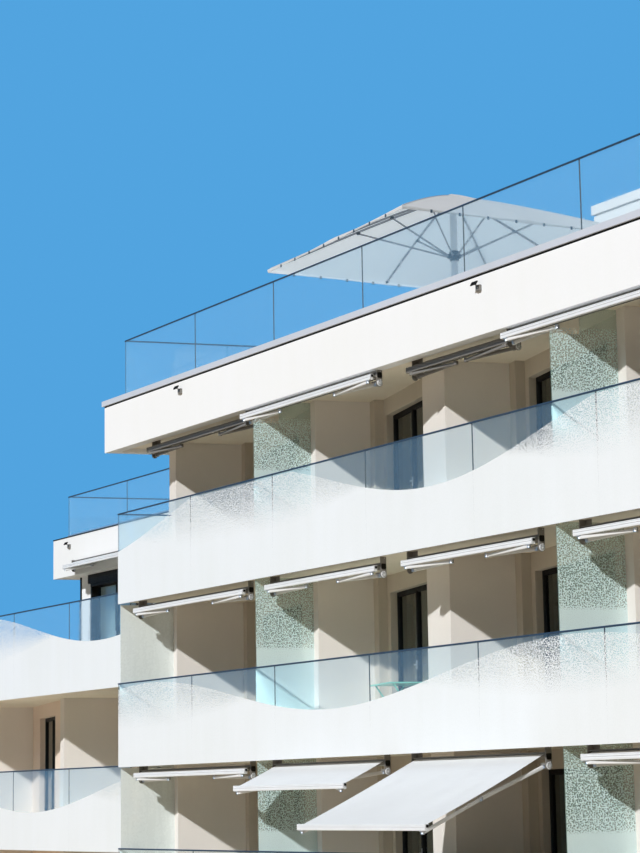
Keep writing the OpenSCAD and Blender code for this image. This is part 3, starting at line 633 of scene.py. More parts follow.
def group_of(effect: Effect) -> bpy.types.NodeTree:
    """Finds a shared group, or builds it once from its recipe.

    Args:
        effect: Which group.

    Returns:
        The group, with a place and the recipe's values coming in.
    """
    found = bpy.data.node_groups.get(effect.value)
    if found:
        return found
    lay, inputs = RECIPES[effect]
    tree = bpy.data.node_groups.new(effect.value, "ShaderNodeTree")
    tree.interface.new_socket(name="Place", in_out="INPUT", socket_type="NodeSocketVector")
    for key, value in inputs.items():
        kind = "NodeSocketColor" if isinstance(value, tuple) else "NodeSocketFloat"
        tree.interface.new_socket(name=key, in_out="INPUT", socket_type=kind).default_value = value
    g = Graph(tree)
    made = lay(g, tree.nodes.new("NodeGroupInput").outputs)
    for key in made:
        kind = "NodeSocketColor" if key == "Colour" else "NodeSocketFloat"
        tree.interface.new_socket(name=key, in_out="OUTPUT", socket_type=kind)
    g.fill(tree.nodes.new("NodeGroupOutput"), made)
    return tree


# Finishes


@dataclass(frozen=True)
class Finish:
    """A surface finish that is made into one material, once."""

    name: str
    colour: Triple
    roughness: float = 0.5

    def material(self) -> bpy.types.Material:
        """Finds the material, or builds it.

        Returns:
            The material of this finish's name.
        """
        found = bpy.data.materials.get(self.name)
        if found:
            return found
        made = bpy.data.materials.new(self.name)
        made.use_nodes = True
        made.diffuse_color = (*self.colour, 1.0)
        g = Graph(made.node_tree)
        shader = made.node_tree.nodes["Principled BSDF"]
        g.fill(shader, {"Base Color": self.colour, "Roughness": self.roughness, **self.lay(g)})
        self.let_light_in(g, shader)
        return made

    def lay(self, g: Graph) -> Inputs:
        """Lays the nodes that vary over the surface, and names the shader's inputs that take them."""
        return {}

    def let_light_in(self, g: Graph, shader: bpy.types.Node) -> None:
        """Changes what lamps meet; a surface that isn't clear leaves it."""


@dataclass(frozen=True)
class Render(Finish):
    """Fine mineral render, painted."""

    roughness: float = 0.88
    depth: float = 0.05
    grain: float = 110.0
    relief: float = 0.0025
    polished: float = 0.08

    def lay(self, g: Graph) -> Inputs:
        """Cloudy colour, fine grains and a roughness that follows the patches.

        Args:
            g: The material's graph.

        Returns:
            What the shader's inputs take.
        """
        m = g.effect(Effect.MOTTLE, g.places(), Colour=self.colour, Depth=self.depth, Grain=self.grain)
        rough = g.ranged(m["Mask"], (0.0, 1.0), (self.roughness, self.roughness - self.polished))
        return {"Base Color": m["Colour"], "Roughness": rough,
                "Normal": g.bumped(m["Height"], self.relief, 0.35)}


@dataclass(frozen=True)
class SlabFinish(Finish):
    """A floor slab: render below, tiles above, and concrete at its edges."""

    tile: Triple = (0.72, 0.63, 0.50)
    joint: Triple = (0.34, 0.31, 0.28)
    edge: Triple = (0.66, 0.63, 0.59)
    tile_size: float = 0.6
    joint_w: float = 0.004
    tone_change: float = 0.93
    joint_depth: float = 1.5
    roughness: float = 0.85
    polished: float = 0.12

    def lay(self, g: Graph) -> Inputs:
        """Tiles in rows along the front line show where the face looks up, render where it looks down.

        Args:
            g: The material's graph.

        Returns:
            What the shader's inputs take.
        """
        places = g.places()
        turned = g.node("Mapping", {"Rotation": (0.0, 0.0, -PLAN.slant), "Vector": places})
        tiles = g.node("TexBrick", {
            "Color1": self.tile, "Color2": tuple(c * self.tone_change for c in self.tile), "Scale": 1.0,
            "Mortar": self.joint, "Mortar Size": self.joint_w, "Brick Width": self.tile_size,
            "Row Height": self.tile_size, "Vector": turned.outputs[0]}, offset=0.0)
        facing = g.node("SeparateXYZ", {0: g.node("NewGeometry").outputs["True Normal"]}).outputs[2]
        up = g.math("GREATER_THAN", facing, 0.5)
        side = g.math("LESS_THAN", g.math("ABSOLUTE", facing), 0.5)
        plain, worn, bare = (g.effect(Effect.MOTTLE, places, Colour=colour, Depth=depth, Grain=grain)
                             for colour, depth, grain in ((self.colour, 0.06, 90.0),
                                                          (tiles.outputs["Color"], 0.12, 140.0),
                                                          (self.edge, 0.1, 70.0)))
        under = g.mixed(side, plain["Colour"], bare["Colour"])
        sunk = g.times(g.times(tiles.outputs["Fac"], up), -self.joint_depth)
        return {"Base Color": g.mixed(up, under, worn["Colour"]),
                "Normal": g.bumped(g.math("ADD", plain["Height"], sunk), 0.002, 0.3),
                "Roughness": g.ranged(worn["Mask"], (0.0, 1.0),
                                      (self.roughness, self.roughness - self.polished))}


@dataclass(frozen=True)
class Metal(Finish):
    """Painted or bare sheet and bar."""

    metallic: float = 0.0
    brushed: float = 0.0
    coat: float = 0.0
    speck: float = 0.35
    shine: float = 0.5
    relief: float = 0.0006

    def lay(self, g: Graph) -> Inputs:
        """Powder-coat texture or brushing, with dust that dulls the gloss.

        Args:
            g: The material's graph.

        Returns:
            What the shader's inputs take.
        """
        places = g.places()
        d = g.effect(Effect.DUST, places, Rough=self.roughness, Spread=0.14)
        m = g.effect(Effect.MOTTLE, places, Colour=self.colour, Depth=0.06, Grain=420.0)
        dusty = tuple(0.75 * c + 0.12 for c in self.colour)
        if self.brushed:
            lines = g.noise(g.scaled(places, (4.0, 4.0, 900.0)), 1.0)
            normal = g.bumped(lines, self.relief, self.brushed)
        else:
            normal = g.bumped(m["Height"], self.relief, 0.3)
        return {"Metallic": self.metallic, "Coat Weight": self.coat, "Specular IOR Level": self.shine,
                "Roughness": d["Rough"], "Normal": normal,
                "Base Color": g.mixed(g.times(d["Mask"], self.speck), m["Colour"], dusty)}


@dataclass(frozen=True)
class Glass(Finish):
    """Clear glass that lets lamps through."""

    roughness: float = 0.01
    shade: float = 0.9
    bend: float = 1.5
    haze: float = 0.0

    def lay(self, g: Graph) -> Inputs:
        """Glass for sight, a little dusty."""
        d = g.effect(Effect.DUST, g.places(), Rough=self.roughness, Spread=0.04)
        return {"Transmission Weight": 1.0 - self.haze, "IOR": self.bend, "Roughness": d["Rough"]}

    def let_light_in(self, g: Graph, shader: bpy.types.Node) -> None:
        """A tinted clear surface takes the glass's place for the light of lamps.

        Args:
            g: The material's graph.
            shader: The node that makes the glass.
        """
        clear = g.node("BsdfTransparent", {"Color": tuple(c * self.shade for c in self.colour)})
        mix = g.node("MixShader", {0: g.node("LightPath").outputs["Is Shadow Ray"],
                                   1: shader.outputs[0], 2: clear.outputs[0]})
        g.fill(g.tree.nodes["Material Output"], {"Surface": mix.outputs[0]})


@dataclass(frozen=True)
class Veil(Finish):
    """Satin glass that glows in the light and half shows what is behind it."""

    cover: float = 0.4
    change: float = 0.03
    roughness: float = 0.22

    def lay(self, g: Graph) -> Inputs:
        """The cover varies a little, as etched glass does.

        Args:
            g: The material's graph.

        Returns:
            What the shader's inputs take.
        """
        d = g.effect(Effect.DUST, g.places(), Rough=self.roughness, Spread=0.2)
        cloud = g.noise(g.places(), 0.8, 3.0)
        cover = g.ranged(cloud, (0.3, 0.7), (self.cover - self.change, self.cover + self.change))
        return {"Roughness": d["Rough"], "Alpha": cover, "Coat Weight": 0.5, "Coat Roughness": 0.03}


@dataclass(frozen=True)
class Print(Finish):
    """White enamel on glass, whole below and broken into dots above."""

    roughness: float = 0.28
    cells: float = 34.0
    cover: float = 1.0

    def lay(self, g: Graph) -> Inputs:
        """The piece's own attribute gives the cover, and its UV map the place of each dot.

        Args:
            g: The material's graph.

        Returns:
            What the shader's inputs take.
        """
        amount = g.node("Attribute", attribute_name="print").outputs["Fac"]
        printed = g.effect(Effect.DOTS, g.cloth_places(), Cover=amount, Cells=self.cells)
        m = g.effect(Effect.MOTTLE, g.places(), Colour=self.colour, Depth=0.035, Grain=60.0)
        d = g.effect(Effect.DUST, g.places(), Rough=self.roughness, Spread=0.12)
        return {"Alpha": g.times(printed["Mask"], self.cover), "Base Color": m["Colour"],
                "Roughness": d["Rough"]}


@dataclass(frozen=True)
class Cloth(Finish):
    """Woven cloth whose threads follow the piece's UV map."""

    roughness: float = 0.85
    threads: float = 420.0
    sheen: float = 0.25
    painted_glow: float = 0.0
    painted_glow_tone: Triple = (0.86, 0.94, 1.0)

    def lay(self, g: Graph) -> Inputs:
        """Threads in colour and height, with a soft sheen; where asked, the underside gets a painted glow, an
        emission that stands in for light coming through the cloth.

        Args:
            g: The material's graph.

        Returns:
            What the shader's inputs take.
        """
        w = g.effect(Effect.WEAVE, g.cloth_places(), Colour=self.colour, Threads=self.threads)
        made = {"Base Color": w["Colour"], "Normal": g.bumped(w["Height"], 0.0006, 0.5),
                "Sheen Weight": self.sheen, "Sheen Roughness": 0.45}
        # Painted glow: emission on the back faces stands in for light that comes through the cloth.
        if self.painted_glow:
            back = g.node("NewGeometry").outputs["Backfacing"]
            painted_glow_colour = g.mixed(1.0, w["Colour"], self.painted_glow_tone, "MULTIPLY")
            made |= {"Emission Color": g.mixed(back, (0.0, 0.0, 0.0), painted_glow_colour), "Emission Strength": self.painted_glow}
        return made


class Finishes:
    """Every finish of the block."""

    white = Render("fine_white_render", (0.89, 0.90, 0.92), depth=0.02)
    # The window walls' render is darker and warmer than the piers': partly its own tone, partly painted shade
    # for walls deep in the recesses.
    taupe_with_painted_shade = Render("warm_taupe_render_with_painted_shade", (0.65, 0.575, 0.48), depth=0.05)
    inner = Render("pier_render", (0.88, 0.82, 0.765), depth=0.03)
    wing_wall = Render("wing_render", (0.95, 0.78, 0.66), depth=0.04)
    slabs = SlabFinish("storey_slabs", (0.97, 0.88, 0.74))
    ground = SlabFinish("ground_slab_stone", (0.60, 0.58, 0.55), tile_size=0.8)
    deck = SlabFinish("terrace_paving", (0.60, 0.57, 0.53), tile=(0.50, 0.49, 0.47), tile_size=0.5)
    capping = Metal("folded_capping", (0.66, 0.68, 0.74), 0.42, metallic=0.1, speck=0.12)
    dark_frame = Metal("dark_frame_paint", (0.014, 0.013, 0.012), 0.5, speck=0.02, shine=0.15)
    rail = Metal("rail_paint", (0.030, 0.060, 0.105), 0.34, metallic=0.2, speck=0.06, shine=0.4)
    silver = Metal("satin_aluminium", (0.62, 0.63, 0.65), 0.32, metallic=0.85, brushed=0.25, speck=0.15)
    arm = Metal("arm_paint", (0.84, 0.84, 0.84), 0.36, speck=0.12)
    strut = Metal("strut_paint", (0.34, 0.36, 0.40), 0.4, metallic=0.3, speck=0.15)
    bar = Metal("white_powder_coat", (0.86, 0.875, 0.90), 0.34, coat=0.15, speck=0.12)
    # Painted shade: the white awning bars, arms and joints in a dark grey where they lie in the fascia's
    # shade.
    painted_shade_coat = Metal("white_powder_coat_painted_shade", (0.21, 0.195, 0.175), 0.42, coat=0.1, speck=0.15)
    bracket = Metal("bracket_paint", (0.26, 0.245, 0.225), 0.45, metallic=0.2, speck=0.2)
    hub = Metal("hub_casting", (0.055, 0.085, 0.115), 0.4, metallic=0.2, speck=0.2)
    mint = Metal("mint_paint", (0.24, 0.66, 0.52), 0.33, coat=0.3, speck=0.1)
    clear = Glass("guard_glass", (0.90, 0.975, 0.985), haze=0.03, bend=1.6)
    pane = Glass("tinted_pane_glass", (0.62, 0.68, 0.66), shade=0.8, bend=1.32)
    green = Veil("mint_screen_glass", (0.50, 0.72, 0.64), cover=0.30)
    frosted = Veil("etched_screen_glass", (0.87, 0.92, 0.885), cover=0.82)
    enamel = Print("printed_enamel", (0.88, 0.905, 0.925), cells=48.0)
    dots = Print("printed_dots", (0.74, 0.88, 0.87), cells=42.0, cover=0.84)
    awning = Cloth("awning_weave", (0.79, 0.815, 0.84))
    # The canopy's underside has a painted glow for the light that shines through it; its seams and cap share
    # it.
    canopy = Cloth("canopy_cloth", (0.76, 0.765, 0.78), painted_glow=0.5)
    curtain = Cloth("curtain_cloth", (0.27, 0.235, 0.13), threads=300.0, sheen=0.1)
    bowl = Render("bowl_shell", (0.78, 0.71, 0.65), roughness=0.6, depth=0.08, grain=40.0)


def dress(finish: Finish, *nodes: str) -> None:
    """Gives CAD nodes a finish in place of what the frame brought.

    Args:
        finish: What they are made of.
        *nodes: Names of the nodes.
    """
    for name in nodes:
        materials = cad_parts[name].data.materials
        for i in range(len(materials)):
            materials[i] = finish.material()
        if not materials:
            materials.append(finish.material())


# Building


@dataclass
class Structure:
    """Walls, slabs and roofs, which keep their CAD shape and get their finishes."""

    storey_names: tuple[str, ...] = ("ground", "first", "second", "third")

    def build(self) -> None:
        """Dresses the carried-over nodes."""
        f = Finishes
        dressed = (
            (f.slabs, "floor_slabs wing_slabs roof_slab"), (f.ground, "ground_slab"), (f.deck, "roof_deck"),
            (f.white, "roof_fascia penthouse_walls penthouse_roof wing_room wing_roof"),
            (f.wing_wall, "wing_walls"), (f.inner, "end_walls balcony_piers"), (f.capping, "roof_capping"),
            (f.clear, "balcony_glass roof_glass wing_glass"), (f.pane, "door_glass window_glass"),
            (f.green, "privacy_screens"), (f.frosted, "end_screens"), (f.rail, "glass_rails"),
            (f.dark_frame, "door_frames window_frames entrance_door roller_boxes fascia_spotlights"),
            (f.bar, "awning_front_bars"), (f.bracket, "awning_rollers"), (f.arm, "awning_arms"),
            (f.silver, "parasol_mast parasol_frame"), (f.bowl, "planter_bowl"), (f.mint, "folding_table"))
        for finish, nodes in dressed:
            dress(finish, *nodes.split())
        dress(f.white, *("rear_wall_" + s for s in self.storey_names))
        dress(f.taupe_with_painted_shade, *("front_wall_" + s for s in self.storey_names))


@dataclass(frozen=True)
class Wave:
    """The long wave of one level's print: where its trough lies, and its heights above the floor."""

    name: str
    floor: float
    guard: float
    edges: tuple[float, ...]
    f: float
    trough_x: float
    low: float
    high: float
    period: float
    below: float
    whole_high: float = 0.56
    whole_low: float = 0.24
    under_rail: float = 0.05

    def top(self, x: Array) -> Array:
        """Upper edge of the print: a cosine between its low and its high, held under the rail."""
        swing = 0.5 - 0.5 * np.cos(2 * math.pi * (x - self.trough_x) / self.period)
        return np.minimum(self.low + (self.high - self.low) * swing, self.guard - self.under_rail)

    def whole(self, x: Array) -> Array:
        """Height to which the print is whole: it sinks again where the wave rises past its middle."""
        rise = np.clip((self.top(x) - self.whole_high) / (self.high - self.whole_high), 0, 1)
        return np.minimum(self.top(x), self.whole_high - (self.whole_high - self.whole_low) * rise)


@dataclass
class GlassPrint:
    """The white print on the balcony glass, and the dots on the screens between balconies."""

    off: float = 0.0012
    step: float = 0.12
    joint: float = 0.0008
    shares: tuple[float, ...] = (0.0, 0.25, 0.5, 0.75, 1.0)
    covers: tuple[float, ...] = (1.0, 1.0, 0.90, 0.74, 0.58, 0.40)
    soft_h: float = 0.3
    screens: tuple[int, int] = (1, 3)
    screen_z: tuple[float, ...] = (0.02, 1.40, 1.46, 1.8, 2.15)
    screen_covers: tuple[float, ...] = (1.0, 0.99, 0.70, 0.52, 0.50, 0.12)
    screen_top: float = 2.58
    last_screen_top: float = 2.32
    screen_edge: float = 0.015

    def levels(self) -> list[Wave]:
        """The printed levels of the block and of the wing.

        Returns:
            One wave for each level.
        """
        x0, x1 = PLAN.balcony
        count = math.ceil((x1 - x0) / PLAN.panel_pitch)
        main = tuple(min(x0 + n * PLAN.panel_pitch, x1) for n in range(count + 1))
        wing = tuple(np.linspace(*WING.balcony, WING.panels + 1).tolist())
        block = [("first", 4.9, 0.33, 1.05, 11.9, 0.56), ("second", 7.3, 0.32, 1.055, 12.0, 0.56),
                 ("third", 10.15, 0.47, 1.42, 11.1, 0.66)]
        made = [Wave(name, PLAN.floor_z(k), PLAN.guard_z(k) - PLAN.floor_z(k), main, PLAN.glass_f,
                     trough, low, high, period, PLAN.glass_below, whole)
                for k, (name, trough, low, high, period, whole) in enumerate(block, 1)]
        first, terrace = WING.guards
        return made + [Wave("wing_first", *first, wing, WING.glass_f, -4.3, 0.265, 1.0, 11.7, 0.48),
                       Wave("wing_terrace", *terrace, wing, WING.glass_f, -1.2, 0.455, 1.3, 11.7, 0.48, 0.66)]

    def panel(self, wave: Wave, x0: float, x1: float) -> Patch:
        """The print on one panel, with rows at its bottom, its whole height, and through its dots.

        Args:
            wave: The level's wave.
            x0: Left end of the panel.
            x1: Right end of the panel.

        Returns:
            The sheet, with the share that the print covers as its value.
        """
        x = np.linspace(x0, x1, max(2, round((x1 - x0) / self.step)))
        whole, top = wave.whole(x), wave.top(x)
        heights = np.vstack([np.full(len(x), -wave.below),
                             whole + np.array(self.shares)[:, None] * (top - whole)]) + wave.floor
        covers = np.array(self.covers)[:, None] * np.ones(len(x))
        covers[2:] = 1 - (1 - covers[2:]) * np.clip((top - whole) / self.soft_h, 0, 1)
        points = spread(heights.shape, x, PLAN.line_y(x, wave.f) - self.off, heights)
        return sheet_patch(points, spread(heights.shape, x / math.cos(PLAN.slant), heights), covers)

    def screen(self, x: float, y: Span, floor: float, high: float) -> Patch:
        """Dots on a screen's right face, densest in a band between shoulder and head height.

        Args:
            x: Where the face is.
            y: Front and rear end of the screen.
            floor: Height of the floor.
            high: Height of the screen's top above the floor.

        Returns:
            The sheet, with the share that the dots cover as its value.
        """
        heights = np.array([*self.screen_z, high])[:, None] * np.ones(2) + floor
        covers = np.array(self.screen_covers)[:, None] * np.ones(2)
        return sheet_patch(spread(heights.shape, x, np.array(y), heights),
                           spread(heights.shape, np.array(y), heights), covers)

    def build(self) -> None:
        """Makes the prints of all levels, and the dots of the screens."""
        for wave in self.levels():
            shell = Shell()
            for x0, x1 in zip(wave.edges, wave.edges[1:]):
                shell.add(self.panel(wave, x0 + self.joint / 2, x1 - self.joint / 2))
            shell.build("glass_print_" + wave.name, Finishes.enamel, None, "printed_glass")
        shell = Shell()
        for k in range(PLAN.storeys):
            high = self.last_screen_top if k == PLAN.storeys - 1 else self.screen_top
            for i in self.screens:
                x = PLAN.piers[i][0] + PLAN.glass_t
                y0 = PLAN.line_y(x, PLAN.glass_f + PLAN.glass_t) + self.screen_edge
                shell.add(self.screen(x + self.off, (y0, PLAN.pier_y(i)), PLAN.floor_z(k), high))
        shell.build("screen_dots", Finishes.dots, None, "green_glass")


# Windows and doors


@dataclass(frozen=True)
class Opening:
    """A window or door: the place of its lower left corner, its size, and its leaves."""

    place: Place
    width: float
    height: float
    leaves: int
    door: bool = True

    @property
    def leaf_w(self) -> float:
        """Distance from one leaf to the next."""
        return (self.width - PLAN.frame_w) / self.leaves

    def panes(self) -> list[tuple[Span, Span]]:
        """The extents in X and Z of each pane."""
        w = PLAN.frame_w
        return [((w + n * self.leaf_w, (n + 1) * self.leaf_w), (w, self.height - w))
                for n in range(self.leaves)]


def main_doors() -> list[Opening]:
    """The balcony doors of the block, storey by storey and bay by bay."""
    return [Opening(Place(PLAN.piers[i][1] + PLAN.door_margin, PLAN.wall_y(i) + PLAN.reveal,
                          PLAN.floor_z(k)), width, PLAN.door_h, leaves)
            for k in range(PLAN.storeys) for i, (width, leaves) in enumerate(PLAN.doors)]


def wing_doors() -> list[Opening]:
    """The doors and narrow windows of the wing's front."""
    walls = [PLAN.line_y(x, WING.pier_f) + recess for x, recess in zip(WING.pier_x, WING.recesses)]
    return [Opening(Place(x, walls[x > WING.pier_x[1]] + PLAN.reveal, z), width, height - WING.head, leaves)
            for z, height in WING.levels for x, width, leaves in WING.openings]


def roof_doors() -> list[Opening]:
    """The doors of the rooms on the two roofs."""
    return [Opening(on_front(x, f, z).behind(PLAN.reveal), width, height, leaves)
            for doors, f, z, height in (
                (PLAN.penthouse_doors, PLAN.penthouse_f[0], PLAN.deck_z, PLAN.penthouse_door_h),
                (WING.room_doors, WING.room_f[0], WING.terrace_z, WING.room_door_h))
            for x, width, leaves in doors]


def rear_windows() -> list[Opening]:
    """The windows of the rear walls.

    Returns:
        One opening for each window.
    """
    places = []
    for k in range(PLAN.storeys):
        for i in range(len(PLAN.doors)):
            x0, x1 = PLAN.bay_x(i)
            count = 2 if x1 - x0 > PLAN.wide_bay else 1
            for n in range(count if (k, i) != PLAN.entrance_bay else 0):
                x = x0 + (x1 - x0) * (n + 0.5) / count - PLAN.rear_size[0] / 2
                places.append(Place(x, PLAN.rear_y(i) + PLAN.wall_t - PLAN.reveal - PLAN.frame_d,
                                    PLAN.floor_z(k) + PLAN.sill_h))
    places += [Place(x, WING.rear_y - PLAN.reveal - PLAN.frame_d, z + PLAN.sill_h)
               for z, _ in WING.levels for x in WING.rear_x]
    deep = PLAN.wall_t * math.cos(PLAN.slant) - PLAN.reveal - PLAN.frame_d
    for doors, f, z in ((PLAN.penthouse_doors, PLAN.penthouse_f[1], PLAN.deck_z),
                        (WING.room_doors, WING.room_f[1], WING.terrace_z)):
        places += [on_front(x, f - PLAN.wall_t, z + PLAN.sill_h).behind(deep) for x, _, _ in doors]
    return [Opening(place, *PLAN.rear_size, 2, False) for place in places]


@dataclass
class Joinery:
    """Sashes with glazing beads, handles, thresholds and sills on the frames."""

    sash: Outline = (
        (-0.031, 0.006), (-0.031, -0.005), (-0.028, -0.008), (-0.008, -0.008), (-0.002, -0.004),
        (0.003, 0.012), (0.012, 0.018), (0.012, 0.0275), (-0.004, 0.0275), (-0.006, 0.006))
    handle_z: float = 1.05
    plate: Span = (0.03, 0.15)
    plate_t: float = 0.009
    sash_out: float = 0.008
    grip: Outline = ((0.0, 0.0), (0.0, 0.035), (0.006, 0.046), (0.02, 0.05), (0.13, 0.05))
    grip_r: float = 0.009
    threshold: tuple[Span, Span] = ((-0.045, 0.012), (0.0, 0.022))
    sill_over: float = 0.03
    sill_t: float = 0.003
    sill_z: Triple = (0.002, -0.016, -0.05)
    pull_z: Span = (0.75, 1.65)
    pull_out: float = 0.06
    pull_r: float = 0.014
    pull_apart: float = 0.07

    def sashes(self, shell: Shell, opening: Opening) -> None:
        """A ring on both sides of the frame round each pane."""
        outer = np.array(self.sash)
        for x, z in opening.panes():
            for profile in (outer, outer * [1, -1] + [0, PLAN.frame_d]):
                shell.add(frame_ring(profile, x, z), opening.place)

    def handle(self, shell: Shell, opening: Opening) -> None:
        """A back plate, a neck and a grip on each side of one stile.

        Args:
            shell: Where they go.
            opening: The window or door.
        """
        x = (opening.leaf_w if opening.leaves > 1 else 0.0) + PLAN.frame_w / 2
        z = self.handle_z if opening.door else opening.height / 2
        w, h = self.plate
        for y0, out in ((-self.sash_out, -1.0), (PLAN.frame_d + self.sash_out, 1.0)):
            y = sorted((y0, y0 + out * self.plate_t))
            shell.add(box((x - w / 2, x + w / 2), tuple(y), (z - h / 2, z + h / 2)), opening.place)
            bend = np.array([(x + along, y0 + out * away, z) for along, away in self.grip])
            shell.add(sweep(bend, circle(self.grip_r, 8)), opening.place)

    def sill(self, opening: Opening) -> Patch:
        """A folded sheet that runs out of the reveal and turns down past the wall.

        Args:
            opening: The window that it lies under.

        Returns:
            The closed sheet.
        """
        top, edge, low = self.sill_z
        y0, y1, t = PLAN.frame_d - 0.01, PLAN.frame_d + PLAN.reveal + self.sill_over, self.sill_t
        outline = ((y0, top), (y1, edge), (y1, low), (y1 - t, low), (y1 - t, edge - t), (y0, top - t))
        return extrude(outline, 0.002, opening.width - 0.002)

    def pull(self, x: float) -> Patch:
        """An upright pull handle with a bent foot at each end.

        Args:
            x: Where it stands on the entrance door.

        Returns:
            The closed bar.
        """
        (z0, z1), y0, y1, bend = self.pull_z, PLAN.frame_d - 0.01, PLAN.frame_d + self.pull_out, 0.01
        path = np.array([(x, y0, z0), (x, y1 - bend, z0), (x, y1, z0 + 0.012), (x, y1, z1 - 0.012),
                         (x, y1 - bend, z1), (x, y0, z1)])
        return sweep(path, circle(self.pull_r), ACROSS)

    def build(self) -> None:
        """Makes all the joinery pieces."""
        back = PLAN.wall_t - PLAN.reveal - PLAN.frame_d
        entrance = Opening(Place(PLAN.entrance_x, PLAN.rear_y(PLAN.entrance_bay[1]) + back, PLAN.floor_z(0)),
                           *PLAN.entrance_size, 2)
        front_sash, rear_sash, handles, sills = Shell(), Shell(), Shell(), Shell()
        for opening in main_doors() + wing_doors() + roof_doors():
            self.sashes(front_sash, opening)
            self.handle(handles, opening)
            sills.add(box((0.0, opening.width), *self.threshold), opening.place)
        for opening in rear_windows():
            self.sashes(rear_sash, opening)
            self.handle(handles, opening)
            sills.add(self.sill(opening), opening.place)
        self.sashes(rear_sash, entrance)
        for side in (-1, 1):
            middle = entrance.leaf_w + PLAN.frame_w / 2
            handles.add(self.pull(middle + side * self.pull_apart), entrance.place)
        front_sash.build("front_sashes", Finishes.dark_frame, 20, "dark_frame")
        rear_sash.build("rear_sashes", Finishes.dark_frame, 20, "dark_frame")
        handles.build("window_handles", Finishes.silver, 40, "bracket_metal")
        sills.build("sills_and_thresholds", Finishes.silver, 30, "capping_metal")


@dataclass
class Curtains:
    """Gathered curtains behind the balcony doors, each hung from a track."""

    wave: float = 0.125
    depth: float = 0.034
    behind: float = 0.29
    share: Span = (0.02, 0.62)
    hang: float = 0.035
    below_soffit: float = 0.03
    track_over: float = 0.15
    track_half: float = 0.02
    steps: int = 12
    rows: int = 9
    first_floor_z: float = 1.0

    def cloth(self, opening: Opening, clear_h: float, seed: int) -> tuple[Patch, Span]:
        """A curtain whose folds are a sine of the width that deepens a little towards the hem.

        Args:
            opening: The door it hangs behind.
            clear_h: Height from the floor to the soffit.
            seed: Number that shifts the folds.

        Returns:
            The sheet and its flat size.
        """
        x0, x1 = (s * opening.width for s in self.share)
        x = np.linspace(x0, x1, round((x1 - x0) / self.wave) * self.steps + 1)
        z = np.linspace(clear_h - self.below_soffit, self.hang, self.rows)[:, None]
        down = (clear_h - z) / clear_h
        phase = 2 * math.pi * x / self.wave + seed + 0.35 * np.sin(3.1 * x + seed)
        fold = self.depth * (0.8 + 0.25 * down) * np.sin(phase + 0.25 * down)
        fold += 0.008 * down * np.sin(phase * 0.31 + seed)
        y = self.behind + fold
        run = np.concatenate([[0.0], np.cumsum(np.hypot(np.diff(x), np.diff(y[self.rows // 2])))])
        made = sheet_patch(spread(y.shape, x, y, z), spread(y.shape, run, z)).turned_over()
        return made, (float(run[-1]), float(z[0, 0] - z[-1, 0]))

    def build(self) -> None:
        """Hangs a curtain behind each upper door of the front."""
        upper = [(o, PLAN.clear_h) for o in main_doors() if o.place.z > self.first_floor_z]
        upper += [(o, WING.levels[1][1]) for o in wing_doors()
                  if o.leaves > 1 and o.place.z > self.first_floor_z]
        tracks, pieces = Shell(), []
        for n, (opening, clear_h) in enumerate(upper):
            patch, flat = self.cloth(opening, clear_h, n)
            shell = Shell()
            shell.add(patch, opening.place)
            pieces.append((shell.build(f"curtain_{n:02d}", Finishes.curtain, 70), flat))
            tracks.add(box((-self.track_over, opening.width + self.track_over),
                           (self.behind - self.track_half, self.behind + self.track_half),
                           (clear_h - 0.032, clear_h + 0.001)), opening.place)
        track = tracks.build("curtain_tracks", Finishes.bar, 30)


# Awnings


@dataclass(frozen=True)
class Awning:
    """One folding-arm awning: its place, its width and how far it is let out."""

    place: Place
    width: float
    reach: float
    top: float
    shaded: bool = False
    roller_r: float = 0.04
    fall: float = math.radians(25)
    bar_d: float = 0.06
    bar_h: float = 0.09
    bar_over: float = 0.015
    arm_l: float = 1.105
    arm_t: float = 0.048
    shoulder_z: float = -0.11
    shoulder_in: float = 0.1
    lift: float = 0.0003

    def cloth_z(self, r: float) -> float:
        """Height of the cloth at r in front of the roller's middle."""
        radius = self.roller_r + self.lift
        return radius * math.cos(self.fall) - (r - radius * math.sin(self.fall)) * math.tan(self.fall)

    @property
    def bar_z(self) -> float:
        """Height of the front bar's lower edge."""
        return self.cloth_z(self.reach) + self.bar_over - self.bar_h

    @property
    def bar_middle(self) -> Array:
        """Middle of the front bar in Y and Z."""
        return np.array([-self.reach - self.bar_d / 2, self.bar_z + self.bar_h / 2])

    def joints(self, side: int) -> tuple[Array, Array, Array]:
        """The turning points of an arm, whose upper arm and forearm are of one length.

        Args:
            side: 1 for the arm at the left end, -1 for the one at the right end.

        Returns:
            Shoulder, elbow and wrist.
        """
        x = self.shoulder_in if side > 0 else self.width - self.shoulder_in
        shoulder = np.array([x, 0.0, self.shoulder_z - self.arm_t / 2])
        wrist = np.array([x, -self.reach - self.bar_d / 2, self.bar_z - self.arm_t / 2])
        half = float(np.linalg.norm(wrist - shoulder)) / 2
        out = math.sqrt(max(self.arm_l ** 2 - half ** 2, 0.0))
        return shoulder, (shoulder + wrist) / 2 + side * out * ACROSS, wrist


